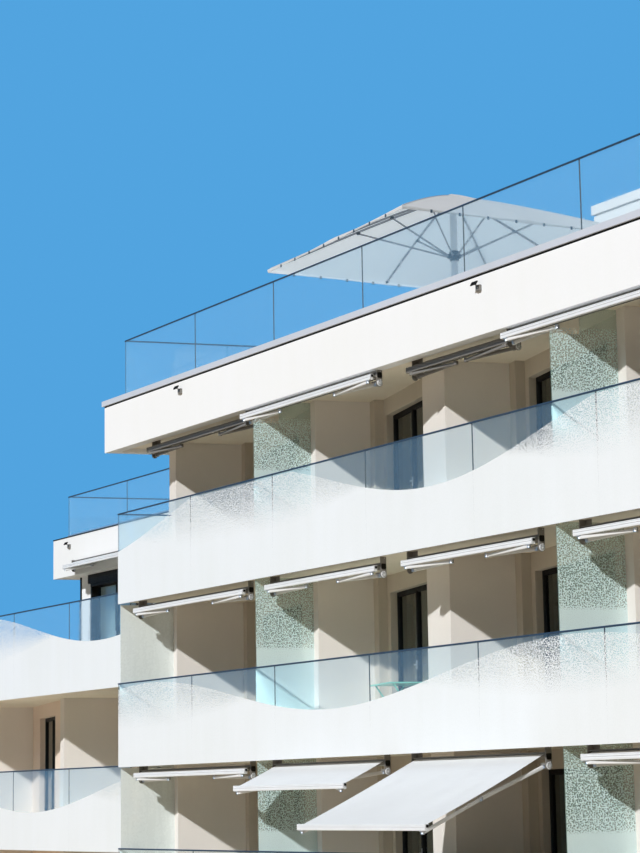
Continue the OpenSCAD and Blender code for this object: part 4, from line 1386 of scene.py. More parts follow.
@dataclass
class Awnings:
    """All awnings: cloth, ridged front bars, folding arms with their joints, and bracket covers."""

    drop: float = 0.15
    fascia_drop: float = 0.08
    spans: tuple[Span, ...] = ((0.5, 4.47), (5.2, 8.47), (9.2, 12.39), (13.3, 16.9), (17.2, 20.8))
    top_spans: tuple[Span, ...] = ((0.56, 4.3), (4.46, 8.47), (9.06, 11.64), (11.83, 15.95), (16.2, 20.8))
    folded: float = 0.11
    let_out: dict[tuple[int, int], float] = field(default_factory=lambda: {(1, 2): 2.0, (1, 1): 0.74})
    front: float = 0.4
    inner_front: float = 0.64
    wing_x: float = -8.48
    wing_width: float = 3.88
    wing_reach: float = 0.22
    wing_out: float = 0.052
    cloth_in: float = 0.06
    cloth_t: float = 0.0015
    sag: float = 0.010
    ripple: float = 0.0022
    bar: Outline = (
        (-0.022, -0.045), (-0.029, -0.041), (-0.030, -0.036), (-0.030, -0.012), (-0.020, -0.009),
        (-0.020, 0.003), (-0.030, 0.006), (-0.030, 0.017), (-0.022, 0.020), (-0.022, 0.029),
        (-0.029, 0.032), (-0.026, 0.040), (-0.014, 0.045), (0.012, 0.045), (0.018, 0.038),
        (0.029, 0.034), (0.030, 0.030), (0.030, -0.030), (0.022, -0.045), (0.010, -0.045),
        (0.010, -0.036), (-0.008, -0.036), (-0.008, -0.045))
    hood_r: Span = (0.062, 0.0585)
    upper_arm: Triple = (0.036, 0.054, 0.009)
    fore_arm: Triple = (0.017, 0.046, 0.007)
    twin: float = 0.0105
    joint_sizes: tuple[Span, ...] = ((0.037, 0.062), (0.034, 0.062), (0.027, 0.050))
    plate_out: float = 0.012
    cap_r: float = 0.056
    cap: Outline = ((0.016, 0.0), (0.047, 0.0), (0.050, 0.004), (0.047, 0.010), (0.016, 0.014))
    bolt: Outline = ((0.006, 0.0), (0.0065, 0.002), (0.004, 0.004))
    spiral_turns: float = 2.4

    def all(self) -> list[Awning]:
        """Every awning of the block and the one of the wing.

        Returns:
            The awnings from the lowest storey up; those of the top storey hang from the fascia,
            or further in, in its shade.
        """
        made = []
        for k in range(PLAN.storeys - 1):
            for i, (x0, x1) in enumerate(self.spans):
                place = on_front(x0, self.front, PLAN.floor_z(k) + PLAN.clear_h - self.drop)
                reach = self.let_out.get((k, i), self.folded)
                made.append(Awning(place, PLAN.along(x0, x1), reach, self.drop))
        for i, (x0, x1) in enumerate(self.top_spans):
            inner = i % 2 == 0
            f, z, drop = ((self.inner_front, PLAN.roof_z, self.drop) if inner
                          else (self.front, PLAN.fascia_z[0], self.fascia_drop))
            made.append(Awning(on_front(x0, f, z - drop), PLAN.along(x0, x1), self.folded, drop, inner))
        f = WING.roof_f - self.wing_out / math.cos(PLAN.slant)
        made.append(Awning(on_front(self.wing_x, f, WING.roof_z - self.fascia_drop),
                           PLAN.along(0.0, self.wing_width), self.wing_reach, self.fascia_drop))
        return made

    def cloth(self, a: Awning) -> tuple[Patch, Span]:
        """The cloth: round the roller from below its back, then straight to the front bar.

        A let-out cloth sinks by a hair between its ends, as a parabola of the way along, and has
        shallow lengthwise waves.

        Args:
            a: The awning.

        Returns:
            The sheet and its flat size.
        """
        radius = a.roller_r + self.cloth_t
        turn = np.linspace(math.radians(-170), a.fall, 19)
        wound = np.column_stack([-radius * np.sin(turn), radius * np.cos(turn)])
        t = np.linspace(0, 1, 25)[1:, None]
        end = np.array([-a.reach - 0.008, a.cloth_z(a.reach) + 0.0025])
        free = wound[-1] + t * (end - wound[-1])
        free[:, 1] -= (self.sag * a.reach * 4 * t * (1 - t))[:, 0]
        path = np.vstack([wound, free])
        x = np.linspace(self.cloth_in, a.width - self.cloth_in, 60)
        run = np.concatenate([[0.0], np.cumsum(np.linalg.norm(np.diff(path, axis=0), axis=1))])
        amount = np.concatenate([np.zeros(len(wound)), (4 * t * (1 - t))[:, 0]])[:, None]
        z = path[:, 1:] + self.ripple * a.reach * amount * np.sin(x * 9.0 + 1.4 * np.sin(x * 2.1))
        made = sheet_patch(spread(z.shape, x, path[:, :1], z), spread(z.shape, x, run[:, None]))
        return made.turned_over(), (float(x[-1] - x[0]), float(run[-1]))

    def front_bar(self, bars: Shell, plugs: Shell, a: Awning) -> None:
        """The ridged bar that the cloth ends in, with an end cap and a dark plug on each side.

        Args:
            bars: Where the bar and its caps go.
            plugs: Where the plugs go.
            a: The awning.
        """
        bars.add(extrude(self.bar + a.bar_middle, 0.004, a.width - 0.004), a.place)
        outline = rounded(a.bar_d + 0.003, a.bar_h + 0.003, 0.011, 5) + a.bar_middle
        plug = rounded(0.036, 0.040, 0.008, 4) + a.bar_middle + [0.004, 0.018]
        for x, out in ((0.0, -1), (a.width, 1)):
            bars.add(extrude(outline, x - out * 0.005, x + out * 0.004), a.place)
            plugs.add(extrude(plug, x, x + out * 0.016), a.place)

    def hood(self, covers: Shell, a: Awning) -> None:
        """A thin cover round the top and back of the roller, with a lip in front.

        Args:
            covers: Where it goes.
            a: The awning.
        """
        turn = np.radians(np.linspace(35, -130, 15))
        outer, inner = (r * np.column_stack([-np.sin(turn), np.cos(turn)]) for r in self.hood_r)
        for outline in (np.vstack([outer, inner[::-1]]), rounded(0.010, 0.014, 0.004) + outer[0]):
            covers.add(extrude(outline, 0.002, a.width - 0.002), a.place)

    def arm(self, arms: Shell, joints: Shell, a: Awning, side: int) -> None:
        """Upper arm, twin-tube forearm, and the turning joints between them.

        Args:
            arms: Where the tubes go.
            joints: Where the joints, the seat of the shoulder and the foot of the wrist go.
            a: The awning.
            side: 1 for the left end, -1 for the right end.
        """
        shoulder, elbow, wrist = a.joints(side)
        arms.add(rod(shoulder, elbow, rounded(*self.upper_arm)), a.place)
        beside = np.cross((wrist - elbow) / np.linalg.norm(wrist - elbow), UP)
        beside *= self.twin / np.linalg.norm(beside)
        for s in (-1, 1):
            arms.add(rod(elbow + s * beside, wrist + s * beside, rounded(*self.fore_arm)), a.place)
        for point, (r, h) in zip((shoulder, elbow, wrist), self.joint_sizes):
            profile = np.array([(r * 0.8, -h / 2), (r, -h / 2 + 0.004), (r, -0.003), (r * 0.93, 0.0),
                                (r, 0.003), (r, h / 2 - 0.004), (r * 0.8, h / 2)])
            joints.add(lathe(profile, 24).shifted(point), a.place)
        seat = a.width - 0.138 if side < 0 else -0.012
        joints.add(box((seat + 0.02, seat + 0.13), (-0.045, 0.045),
                       (a.shoulder_z - 0.004, a.shoulder_z + 0.022), 0.006), a.place)
        x, y, z = wrist
        z += a.arm_t / 2 - 0.006
        joints.add(box((x - 0.055, x + 0.055), (y - 0.022, y + 0.022), (z - 0.004, z + 0.012), 0.004),
                   a.place)

    def bracket(self, covers: Shell, caps: Shell, plugs: Shell, a: Awning) -> None:
        """A cheek on each end plate that widens to a round end at the shoulder.

        The round end carries a white cap with a raised spiral, and the roller a dark end plate.

        Args:
            covers: Where the cheeks go.
            caps: Where the white caps and the bolts go.
            plugs: Where the spirals and the dark plates go.
            a: The awning.
        """
        middle = a.shoulder_z - a.arm_t / 2 + 0.006
        arc = np.radians(np.linspace(38, -218, 25))
        ring = np.column_stack([self.cap_r * np.cos(arc), middle + self.cap_r * np.sin(arc)])
        cheek = np.vstack([[(-0.046, a.top - 0.001), (0.046, a.top - 0.001), (0.049, a.top - 0.012)], ring,
                           [(-0.049, a.top - 0.012)]])
        turn = np.linspace(0, self.spiral_turns * 2 * math.pi, 44)
        radius = 0.008 + 0.034 * turn / turn[-1]
        for x, out in ((-self.plate_out, -1), (a.width + self.plate_out, 1)):
            covers.add(extrude(cheek, x - out * 0.014, x + out * 0.002), a.place)
            caps.add(self.disc(self.cap, (x + out * 0.002, 0.0, middle), out), a.place)
            spiral = spread(turn.shape, x + out * 0.0145,
                            radius * np.cos(turn), middle + radius * np.sin(turn))
            plugs.add(sweep(spiral, circle(0.0026, 6), ACROSS), a.place)
            plugs.add(extrude(rounded(0.084, 0.084, 0.016, 5), x, x + out * 0.011), a.place)
            for z in (-0.075, a.top - 0.022):
                caps.add(self.disc(self.bolt, (x + out * 0.002, 0.02, z), out, 10), a.place)

    def disc(self, profile: Array, at: Triple, out: int, sides: int = 28) -> Patch:
        """A turned profile laid on its side about a point, facing left (-1) or right (1)."""
        laid = lathe(profile, sides).tipped()
        return replace(laid, points=laid.points * [out, 1, 1]).outward().shifted(at)

    def build(self) -> None:
        """Makes every awning."""
        bars, plugs, caps, arms, joints, covers, painted_shade_parts = (Shell() for _ in range(7))
        cloths = []
        for n, a in enumerate(self.all()):
            # Awnings in the fascia's shade get painted shade: bars, arms and joints in dark grey.
            self.front_bar(painted_shade_parts if a.shaded else bars, plugs, a)
            self.hood(covers, a)
            for side in (1, -1):
                self.arm(painted_shade_parts if a.shaded else arms, painted_shade_parts if a.shaded else joints, a, side)
            self.bracket(covers, caps, plugs, a)
            patch, flat = self.cloth(a)
            shell = Shell()
            shell.add(patch, a.place)
            cloths.append((shell.build(f"awning_cloth_{n:02d}", Finishes.awning, 60, "awning_cloth"), flat))
        bar = bars.build("awning_bars_ridged", Finishes.bar, 30, "awning_white")
        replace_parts(bar, "awning_front_bars")
        painted_shade_parts.build("awning_bars_and_arms_painted_shade", Finishes.painted_shade_coat, 30, "awning_white")
        caps.build("awning_shoulder_caps", Finishes.bar, 40, "awning_white")
        plugs.build("awning_end_plugs", Finishes.dark_frame, 40, "dark_frame")
        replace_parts(arms.build("awning_arm_tubes", Finishes.arm, 40, "awning_white"), "awning_arms")
        joints.build("awning_arm_joints", Finishes.silver, 40, "bracket_metal")
        covers.build("awning_covers", Finishes.bracket, 40, "bracket_metal")
        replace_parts(cloths[0][0], "awning_fabrics")


# Parasol


@dataclass
class Parasol:
    """The big square parasol: canopy on eight ribs, struts from a sliding hub, mast and foot."""

    place: Place = Place(5.2, 3.65, PLAN.deck_z, math.radians(11))
    flat: Span = (5.35, 5.35)
    half: float = 2.45
    edge_z: float = 2.23
    top_z: float = 3.255
    cap_z: float = 3.29
    cap_half: float = 0.270
    cap_rim: float = 0.022
    cap_under: float = -0.024
    valance: float = 0.06
    scallop: float = 0.012
    bulge: float = 1.16
    sag: float = 0.035
    hem: tuple[Span, ...] = (
        (1.0008, 0.25), (1.0, 0.5), (0.9985, 0.75), (0.9975, 0.96), (0.9955, 0.985), (0.994, 0.93))
    ribs: int = 8
    ring_steps: int = 192
    mast_r: float = 0.06
    flute: float = 0.0035
    hub_z: float = 2.17
    crown_r: float = 0.11
    crank_z: float = 1.1
    clips_a_side: int = 8
    hub: Outline = (
        (0.062, -0.09), (0.078, -0.088), (0.082, -0.06), (0.082, -0.045), (0.104, -0.04), (0.115, -0.03),
        (0.115, 0.03), (0.104, 0.04), (0.086, 0.045), (0.084, 0.08), (0.074, 0.09), (0.062, 0.09))
    crown: Outline = (
        (0.05, -0.075), (0.1, -0.07), (0.109, -0.055), (0.109, -0.01), (0.09, 0.0), (0.05, 0.0))
    foot: Outline = (
        (0.45, 0.0), (0.45, 0.045), (0.442, 0.056), (0.43, 0.06), (0.1, 0.06), (0.1, 0.2), (0.094, 0.21),
        (0.064, 0.212))
    crank: tuple[Triple, ...] = (
        (0.055, 0.0, 0.0), (0.11, 0.0, 0.0), (0.12, 0.0, -0.01), (0.12, 0.0, -0.12), (0.13, 0.0, -0.13),
        (0.20, 0.0, -0.13))
    crank_seat: Outline = (
        (0.05, -0.06), (0.07, -0.055), (0.07, 0.055), (0.05, 0.06))

    def height(self, x: Array, y: Array) -> Array:
        """Height of the cloth: it falls as a power of the square distance, and sinks between ribs.

        The sinking is a sine of four times the direction, so that it is nought on each rib, times
        the distance and times what is left to the edge.

        Args:
            x: Places along one side.
            y: Places along the other side.

        Returns:
            The heights above the terrace.
        """
        s = np.maximum(np.abs(x), np.abs(y)) / self.half
        around = np.abs(np.sin(4 * np.arctan2(y, x)))
        fall = (self.top_z - self.edge_z) * s ** self.bulge
        return self.top_z - fall - self.sag * around * s * (1.12 - 0.45 * s)

    def ring(self, count: int) -> Array:
        """Points round a square of half side one, evenly spaced from the middle of a side.

        Args:
            count: How many points.

        Returns:
            The points, count by 2.
        """
        t = (np.arange(count) / count * 8 + 1) % 8
        side, along, one = (t // 2).astype(int), t % 2 - 1, np.ones(count)
        return np.column_stack([np.choose(side, [one, -along, -one, along]),
                                np.choose(side, [along, one, -along, -one])])

    def canopy(self) -> Patch:
        """One sheet from the top to the hem of the valance, whose hem curls in by a little.

        Returns:
            The sheet, closed by a small cap at the top.
        """
        count, ring = self.ring_steps, self.ring(self.ring_steps)
        levels = np.concatenate([[0.012], np.linspace(0.04, 1.0, 26)])
        x, y = levels[:, None] * ring[:, 0] * self.half, levels[:, None] * ring[:, 1] * self.half
        top = np.stack([x, y, self.height(x, y)], -1)
        scallop = self.scallop * np.abs(np.sin(4 * np.arctan2(ring[:, 1], ring[:, 0])))
        edge = top[-1, :, 2]
        points = np.concatenate([top, np.array([np.column_stack([
            out * ring * self.half, edge + share * (self.edge_z - self.valance - edge + scallop)])
            for out, share in self.hem])])
        n = len(points)
        step = np.linalg.norm(np.diff(points, axis=0), axis=2).mean(1)
        run = np.concatenate([[0.0], np.cumsum(step)])[:, None]
        uv = spread((n, count), np.arange(count) * 8 * self.half / count, run)
        made = Patch(points.reshape(-1, 3), grid_quads(n, count, wrap_cols=True),
                     [tuple(range(count))[::-1]], uv.reshape(-1, 2))
        return made.turned_over()

    def rib_path(self, angle: float, start: float, below: float) -> Array:
        """Points along a rib.

        Args:
            angle: The rib's direction.
            start: Distance of its first point from the mast's middle.
            below: How far it lies below the cloth.

        Returns:
            The points, from the mast outwards.
        """
        far = self.half * (1.0 if round(angle / (math.pi / 4)) % 2 == 0 else math.sqrt(2)) * 0.985
        r = np.linspace(start, far, 15)
        x, y = r * math.cos(angle), r * math.sin(angle)
        return np.column_stack([x, y, self.height(x, y) - below])

    def cap(self, reach: float, raised: float) -> Patch:
        """The square vent cap at the top: a small canopy of its own, shallower than the cloth.

        Args:
            reach: Half its side.
            raised: How far it stands above its own height.

        Returns:
            The closed surface.
        """
        levels = [(s, 0.11 * s ** 1.3) for s in (0.02, 0.3, 0.6, 0.85, 0.97, 1.0)]
        levels += [(1.0, 0.128), (0.97, 0.128)]
        ring = self.ring(96)
        return tube(np.array([
            np.column_stack([reach * s * ring, np.full(len(ring), self.cap_z + raised - fall)])
            for s, fall in levels]))

    def rib(self, ribs: Shell, dark: Shell, angle: float) -> None:
        """A rib with its strut, two lugs at the hub, two ears at the strut's head, and its end cap.

        Args:
            ribs: Where rib and strut go.
            dark: Where the dark fittings go.
            angle: The rib's direction.
        """
        c, s = math.cos(angle), math.sin(angle)
        path = self.rib_path(angle, self.crown_r - 0.02, 0.024)
        middle, foot, tip = path[7] - [0, 0, 0.03], np.array([0.1 * c, 0.1 * s, self.hub_z - 0.01]), path[-1]
        ribs.add(sweep(path, rounded(0.024, 0.036, 0.007)), self.place)
        ribs.add(rod(foot, middle, rounded(0.020, 0.030, 0.006)), self.place)
        fittings = [(tip, (0.03, 0.0), (0.02, -0.006), (0.034, 0.046, 0.01))]
        for out in (1, -1):
            side = out * np.array([-s, c, 0.0])
            fittings[:0] = [(foot + 0.016 * side, (0.03, 0.0), (0.022, 0.006), (0.008, 0.05, 0.003)),
                            (middle + 0.0145 * side, (0.03, -0.004), (0.03, 0.004), (0.006, 0.045, 0.002))]
        for at, (back, down), (ahead, up), size in fittings:
            dark.add(rod(at - [back * c, back * s, down], at + [ahead * c, ahead * s, up], rounded(*size)),
                     self.place)

    def clips(self, dark: Shell) -> None:
        """Small dark clips along the valance, evenly spaced on each side."""
        z = self.edge_z - 0.045
        for n in range(4):
            for u in np.linspace(-1, 1, self.clips_a_side + 2)[1:-1] * self.half:
                clip = box((u - 0.018, u + 0.018), (-self.half - 0.007, -self.half + 0.004),
                           (z - 0.028, z + 0.028), 0.004)
                dark.add(clip.moved(Place(0, 0, 0, n * math.pi / 2)), self.place)

    def stand(self, mast: Shell) -> None:
        """The fluted mast, its round foot, and the crank with its seat.

        Args:
            mast: Where they go.
        """
        turn = np.linspace(0, 2 * math.pi, 64, endpoint=False)
        fluted = self.mast_r - self.flute * np.clip(np.cos(8 * turn), 0.2, 1.0)
        section = fluted[:, None] * np.column_stack([np.cos(turn), np.sin(turn)])
        path = np.array([(0.0, 0.0, z) for z in (0.06, 0.9, 1.8, self.top_z - 0.06)])
        crank_at = np.array([0.0, 0.0, self.crank_z])
        for part in (sweep(path, section, np.array([0.0, 1.0, 0.0])), lathe(self.foot, 56),
                     sweep(self.crank + crank_at, circle(0.009), np.array([0.0, 1.0, 0.0])),
                     lathe(self.crank_seat).shifted(crank_at)):
            mast.add(part, self.place)

    def build(self) -> None:
        """Makes the parasol."""
        shell, ribs, dark, seams, mast = (Shell() for _ in range(5))
        shell.add(self.canopy(), self.place)
        canopy = shell.build("parasol_cloth_sheet", Finishes.canopy, 32, "parasol_cloth")
        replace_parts(canopy, "parasol_canopy")
        for n in range(self.ribs):
            angle = n * 2 * math.pi / self.ribs
            self.rib(ribs, dark, angle)
            seams.add(sweep(self.rib_path(angle, 0.15, -0.003), rounded(0.024, 0.003, 0.001)), self.place)
        made = ribs.build("parasol_ribs_and_struts", Finishes.strut, 35, "parasol_metal")
        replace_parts(made, "parasol_frame")
        self.clips(dark)
        top_under = float(self.height(np.array(0.09), np.array(0.0))) - 0.012
        for profile, z in ((self.hub, self.hub_z), (self.crown, top_under)):
            dark.add(lathe(profile, 40, closed=True).shifted((0.0, 0.0, z)), self.place)
        dark.add(self.cap(self.cap_half + self.cap_rim, self.cap_under), self.place)
        seams.add(self.cap(self.cap_half, 0.0), self.place)
        dark.build("parasol_hub_and_clips", Finishes.hub, 35, "parasol_metal")
        seams.build("parasol_seams_and_cap", Finishes.canopy, 35, "parasol_cloth")
        self.stand(mast)
        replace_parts(mast.build("parasol_fluted_mast", Finishes.silver, 35, "parasol_metal"), "parasol_mast")


# Terrace, balcony pieces and edges


@dataclass
class Rails:
    """Rounded rails on the glass, gaskets in its joints, and the channel that holds the roof glass."""

    over: float = 0.006
    size: Span = (0.034, 0.028)
    corner: float = 0.006
    gap: float = 0.002
    roof_depth: float = 6.0
    wing_roof_depth: float = 4.5
    strip_half: float = 0.0045
    strip_y: Span = (0.001, 0.020)
    shoe_h: float = 0.115
    shoe_t: float = 0.02
    shoe_y: Span = (-0.022, 0.024)

    def run(self, shell: Shell, x: Span, f: float, top: float) -> None:
        """A rail along the slanted front.

        Args:
            shell: Where it goes.
            x: Left and right end of the glass.
            f: How far the glass lies behind the front line.
            top: Height of the rail's top.
        """
        middle = [PLAN.glass_t / 2 * math.cos(PLAN.slant), -self.size[1] / 2]
        rail = extrude(rounded(*self.size, self.corner, 4) + middle, 0.0,
                       PLAN.along(x[0], x[1] + 2 * self.over))
        shell.add(rail, on_front(x[0] - self.over, f, top))

    def back(self, shell: Shell, x: float, f: float, end: float, top: float) -> None:
        """A rail that runs straight back from the one along the front.

        Args:
            shell: Where it goes.
            x: Left side of the glass.
            f: How far the glass along the front lies behind the front line.
            end: Y of the rail's rear end.
            top: Height of the rail's top.
        """
        start = PLAN.glass_t + self.over
        y, mid, z = PLAN.line_y(x + start, f + start) + self.gap, x + PLAN.glass_t / 2, top - self.size[1] / 2
        shell.add(rod((mid, y, z), (mid, end, z), rounded(*self.size, self.corner, 4)))

    def rails(self) -> Shell:
        """The rails of all levels.

        Returns:
            The gathered rails.
        """
        shell = Shell()
        (x0, x1), t = PLAN.balcony, PLAN.glass_t
        for k in range(1, PLAN.storeys):
            self.run(shell, (x0, x1), PLAN.glass_f, PLAN.guard_z(k))
        for x, pier in ((x0, 0), (x1 - t, 5)):
            self.back(shell, x, PLAN.glass_f, PLAN.pier_y(pier), PLAN.guard_z(PLAN.storeys - 1))
        self.run(shell, PLAN.roof_glass, PLAN.roof_glass_f, PLAN.roof_glass_top)
        for x in (PLAN.roof_glass[0], PLAN.roof_glass[1] - t):
            end = PLAN.line_y(x, PLAN.roof_glass_f + t) + self.roof_depth
            self.back(shell, x, PLAN.roof_glass_f, end, PLAN.roof_glass_top)
        x0, x1 = WING.balcony
        for floor, guard in WING.guards:
            self.run(shell, (x0, x1 - self.over), WING.glass_f, floor + guard)
            self.back(shell, x0, WING.glass_f, PLAN.line_y(WING.pier_x[0], WING.pier_f), floor + guard)
        self.run(shell, WING.roof_glass, WING.roof_glass_f, WING.roof_glass_top)
        end = PLAN.line_y(WING.roof_glass[0], WING.roof_glass_f) + self.wing_roof_depth
        self.back(shell, WING.roof_glass[0], WING.roof_glass_f, end, WING.roof_glass_top)
        return shell

    def gaskets(self) -> Shell:
        """A thin strip in each open joint, from the print's or the channel's edge up to the rail.

        Returns:
            The gathered strips.
        """
        spots = []
        for wave in GlassPrint().levels():
            for x in wave.edges[1:-1]:
                low = wave.floor + float(wave.top(np.array([x]))[0]) + 0.005
                spots.append((x, wave.f, low, wave.floor + wave.guard - PLAN.rail_h))
        x0, x1 = PLAN.roof_glass
        for n in range(1, math.ceil((x1 - x0) / PLAN.roof_pitch)):
            spots.append((x0 + n * PLAN.roof_pitch, PLAN.roof_glass_f, PLAN.deck_z + self.shoe_h + 0.001,
                          PLAN.roof_glass_top - PLAN.rail_h))
        x0, x1 = WING.roof_glass
        for n in range(1, WING.roof_panels):
            spots.append((x0 + n * (x1 - x0) / WING.roof_panels, WING.roof_glass_f,
                          WING.roof_top + self.shoe_h + 0.001, WING.roof_glass_top - 0.04))
        shell = Shell()
        for x, f, low, high in spots:
            if high - low > 0.02:
                shell.add(box((-self.strip_half, self.strip_half), self.strip_y, (low, high), 0.002),
                          on_front(x, f, 0.0))
        return shell

    def build(self) -> None:
        """Makes rails, gaskets and channels."""
        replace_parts(self.rails().build("rounded_rails", Finishes.rail, 30, "rail_metal"), "glass_rails")
        self.gaskets().build("glass_joint_gaskets", Finishes.hub, 30, "rail_metal")
        shoes = Shell()
        for (x0, x1), f, z in ((PLAN.roof_glass, PLAN.roof_glass_f, PLAN.deck_z),
                               (WING.roof_glass, WING.roof_glass_f, WING.roof_top)):
            for y in self.shoe_y:
                shoes.add(box((0.0, PLAN.along(x0, x1)), (y, y + self.shoe_t), (z + 0.0005, z + self.shoe_h),
                              0.003), on_front(x0, f, 0.0))
        shoes.build("glass_channels", Finishes.silver, 30, "capping_metal")


@dataclass
class Terrace:
    """Planter, folding table, spotlights and the roller shutters of the wing's room."""

    bowl: Outline = (
        (0.255, 0.0), (0.262, 0.01), (0.30, 0.10), (0.345, 0.21), (0.385, 0.33), (0.410, 0.45),
        (0.422, 0.58), (0.426, 0.69), (0.430, 0.715), (0.430, 0.742), (0.424, 0.75), (0.398, 0.75),
        (0.391, 0.743), (0.388, 0.70), (0.382, 0.56), (0.366, 0.42), (0.33, 0.29), (0.28, 0.16),
        (0.22, 0.06), (0.05, 0.04))
    bowl_x: float = 11.2
    bowl_f: float = 1.5
    table: Place = Place(6.9, 1.39, 6.15)
    table_size: Triple = (1.05, 0.62, 0.71)
    table_edge: float = 0.03
    table_t: float = 0.022
    slats: int = 9
    leg_in: Span = (0.09, 0.07)
    leg_apart: float = 0.013
    spots: tuple[Triple, ...] = (
        (2.38, 0.25, 12.37), (11.38, 0.25, 12.37), (20.38, 0.25, 12.37), (-8.8, 3.2, 10.81))
    lamp_tilt: float = math.radians(57)
    lamp_middle: Span = (-0.105, 0.06)
    fins: int = 3
    fin_pitch: float = 0.018
    guide_w: float = 0.05
    shutter_slats: int = 3
    shutter_pitch: float = 0.045

    def planter(self) -> None:
        """A bowl with a rolled lip."""
        shell = Shell()
        place = Place(self.bowl_x, PLAN.line_y(self.bowl_x, self.bowl_f), PLAN.deck_z)
        shell.add(lathe(self.bowl, 64), place)
        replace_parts(shell.build("planter_rolled_lip", Finishes.bowl, 35, "planter_shell"), "planter_bowl")

    def folding_table(self) -> None:
        """Slatted top in a frame on crossed legs with cross rods."""
        length, width, height = self.table_size
        edge, z0, shell = self.table_edge, height - self.table_t, Shell()
        (leg_x, leg_y), pitch = self.leg_in, (length - edge) / self.slats
        for y in (0.0, width - edge):
            shell.add(box((0.0, length), (y, y + edge), (z0, height), 0.005), self.table)
        for n in range(self.slats):
            x = edge / 2 + n * pitch
            shell.add(box((x + 0.006, x + pitch - 0.006), (edge - 0.002, width - edge + 0.002),
                          (z0 + 0.004, height - 0.002)), self.table)
        for x in (leg_x, length - leg_x):
            for y0, y1, out in ((leg_y, width - leg_y, -self.leg_apart),
                                (width - leg_y, leg_y, self.leg_apart)):
                shell.add(rod((x + out, y0, 0.011), (x + out, y1, z0 + 0.003),
                              rounded(0.022, 0.024, 0.005), ACROSS), self.table)
        for y, z, r in ((leg_y, 0.012, 0.011), (width - leg_y, 0.012, 0.011), (width / 2, z0 / 2, 0.008)):
            shell.add(rod((leg_y, y, z), (length - leg_y, y, z), circle(r)), self.table)
        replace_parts(shell.build("slatted_folding_table", Finishes.mint, 35, "table_green"), "folding_table")

    def spotlights(self) -> None:
        """A junction box on the fascia, and a flat lamp head that is tilted above it."""
        boxes, heads = Shell(), Shell()
        c, s = math.cos(self.lamp_tilt), math.sin(self.lamp_tilt)
        turn = np.array([(c, s), (-s, c)])
        bend = np.array([(0.0, -0.03, 0.036), (0.0, -0.07, 0.038), (0.0, -0.09, 0.046), (0.0, -0.1, 0.056)])
        for spot in self.spots:
            place = on_front(*spot)
            boxes.add(extrude(rounded(0.048, 0.088, 0.010, 5) + [-0.025, 0.0], -0.044, 0.044), place)
            boxes.add(extrude(rounded(0.004, 0.066, 0.0015, 3) + [-0.0505, 0.0], -0.033, 0.033), place)
            boxes.add(sweep(bend, rounded(0.020, 0.014, 0.004), np.array([0.0, 0.3, 1.0])), place)
            lamp = rounded(0.067, 0.020, 0.006, 5) @ turn + self.lamp_middle
            heads.add(extrude(lamp, -0.0675, 0.0675), place)
            for n in range(-self.fins, self.fins + 1):
                x, fin = n * self.fin_pitch, rounded(0.054, 0.006, 0.002) + [0.0, 0.012]
                heads.add(extrude(fin @ turn + self.lamp_middle, x - 0.0015, x + 0.0015), place)
        made = heads.build("spotlight_heads", Finishes.dark_frame, 35, "dark_frame")
        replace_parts(made, "fascia_spotlights")
        boxes.build("spotlight_boxes", Finishes.bracket, 35, "dark_frame")

    def shutters(self) -> None:
        """Side guides, a lower bar that looks out of the box, and the box's cover edge."""
        shell, height = Shell(), WING.room_door_h
        for x, width, _ in WING.room_doors:
            place = on_front(x, WING.room_f[0], WING.terrace_z)
            for u in (0.0, width - self.guide_w):
                shell.add(box((u, u + self.guide_w), (-0.03, 0.118), (0.005, height)), place)
            bar = box((0.055, width - 0.055), (-0.062, -0.04), (height - 0.07, height + 0.02), 0.006)
            shell.add(bar, place)
            for n in range(self.shutter_slats):
                z = height + 0.022 + n * self.shutter_pitch
                shell.add(box((0.002, width - 0.002), (-0.1035, -0.098), (z, z + 0.04), 0.0024), place)
        shell.build("shutter_guides", Finishes.dark_frame, 30, "dark_frame")

    def build(self) -> None:
        """Makes all four."""
        self.planter()
        self.folding_table()
        self.spotlights()
        self.shutters()


@dataclass
class Edges:
    """Folded seams on the cappings, and dark strips in the gaps under them; the strip under the main capping
    is painted shadow.
    """

    seam: float = 0.03
    pitch: float = 2.785
    over: float = 0.04
    back: float = 0.20
    sheet_t: float = 0.002
    raised: float = 0.0025
    post_half: float = 0.025

    def seams(self) -> Shell:
        """A standing seam at every panel along the main roof's capping.

        Returns:
            The gathered seams.
        """
        shell, (z0, z1), (x0, x1) = Shell(), PLAN.capping_z, PLAN.roof_x
        up, t = self.raised, self.sheet_t
        outline = np.array([(-up, z0), (-up, z1 + up), (self.back, z1 + up), (self.back, z1 - t), (t, z1 - t),
                            (t, z0)])
        for n in range(1, math.ceil((x1 - x0) / self.pitch)):
            shell.add(extrude(outline, -self.seam / 2, self.seam / 2),
                      on_front(x0 + n * self.pitch, PLAN.roof_f - self.over, 0.0))
        return shell

    def gaps(self) -> Shell:
        """Dark strips in the gap between fascia and capping, where the strip is painted shadow, and in the
        one above the wing's roof, and its corner post.

        Returns:
            The gathered bars.
        """
        shell, half = Shell(), self.post_half
        for (x0, x1), f, y, z, radius in (
                (PLAN.roof_x, PLAN.roof_f, (-0.002, 0.03),
                 (PLAN.fascia_z[1] + 0.0005, PLAN.capping_z[0] - 0.0005), 0.002),
                (WING.roof, WING.roof_f, (-0.012, 0.10),
                 (WING.roof_top - 0.002, WING.roof_top + 0.022), 0.004)):
            shell.add(box((0.0, PLAN.along(x0, x1)), y, z, radius), on_front(x0, f, 0.0))
        x, f = WING.post
        post = box(WING.post_z, (-half, half), (-half, half), 0.008).tipped(-1)
        shell.add(post.shifted((x, PLAN.line_y(x, f), 0.0)))
        return shell

    def build(self) -> None:
        """Makes seams and gaps."""
        self.seams().build("capping_seams", Finishes.capping, 30, "capping_metal")
        self.gaps().build("capping_gap_painted_shadow", Finishes.dark_frame, 30, "dark_frame")


# Studio


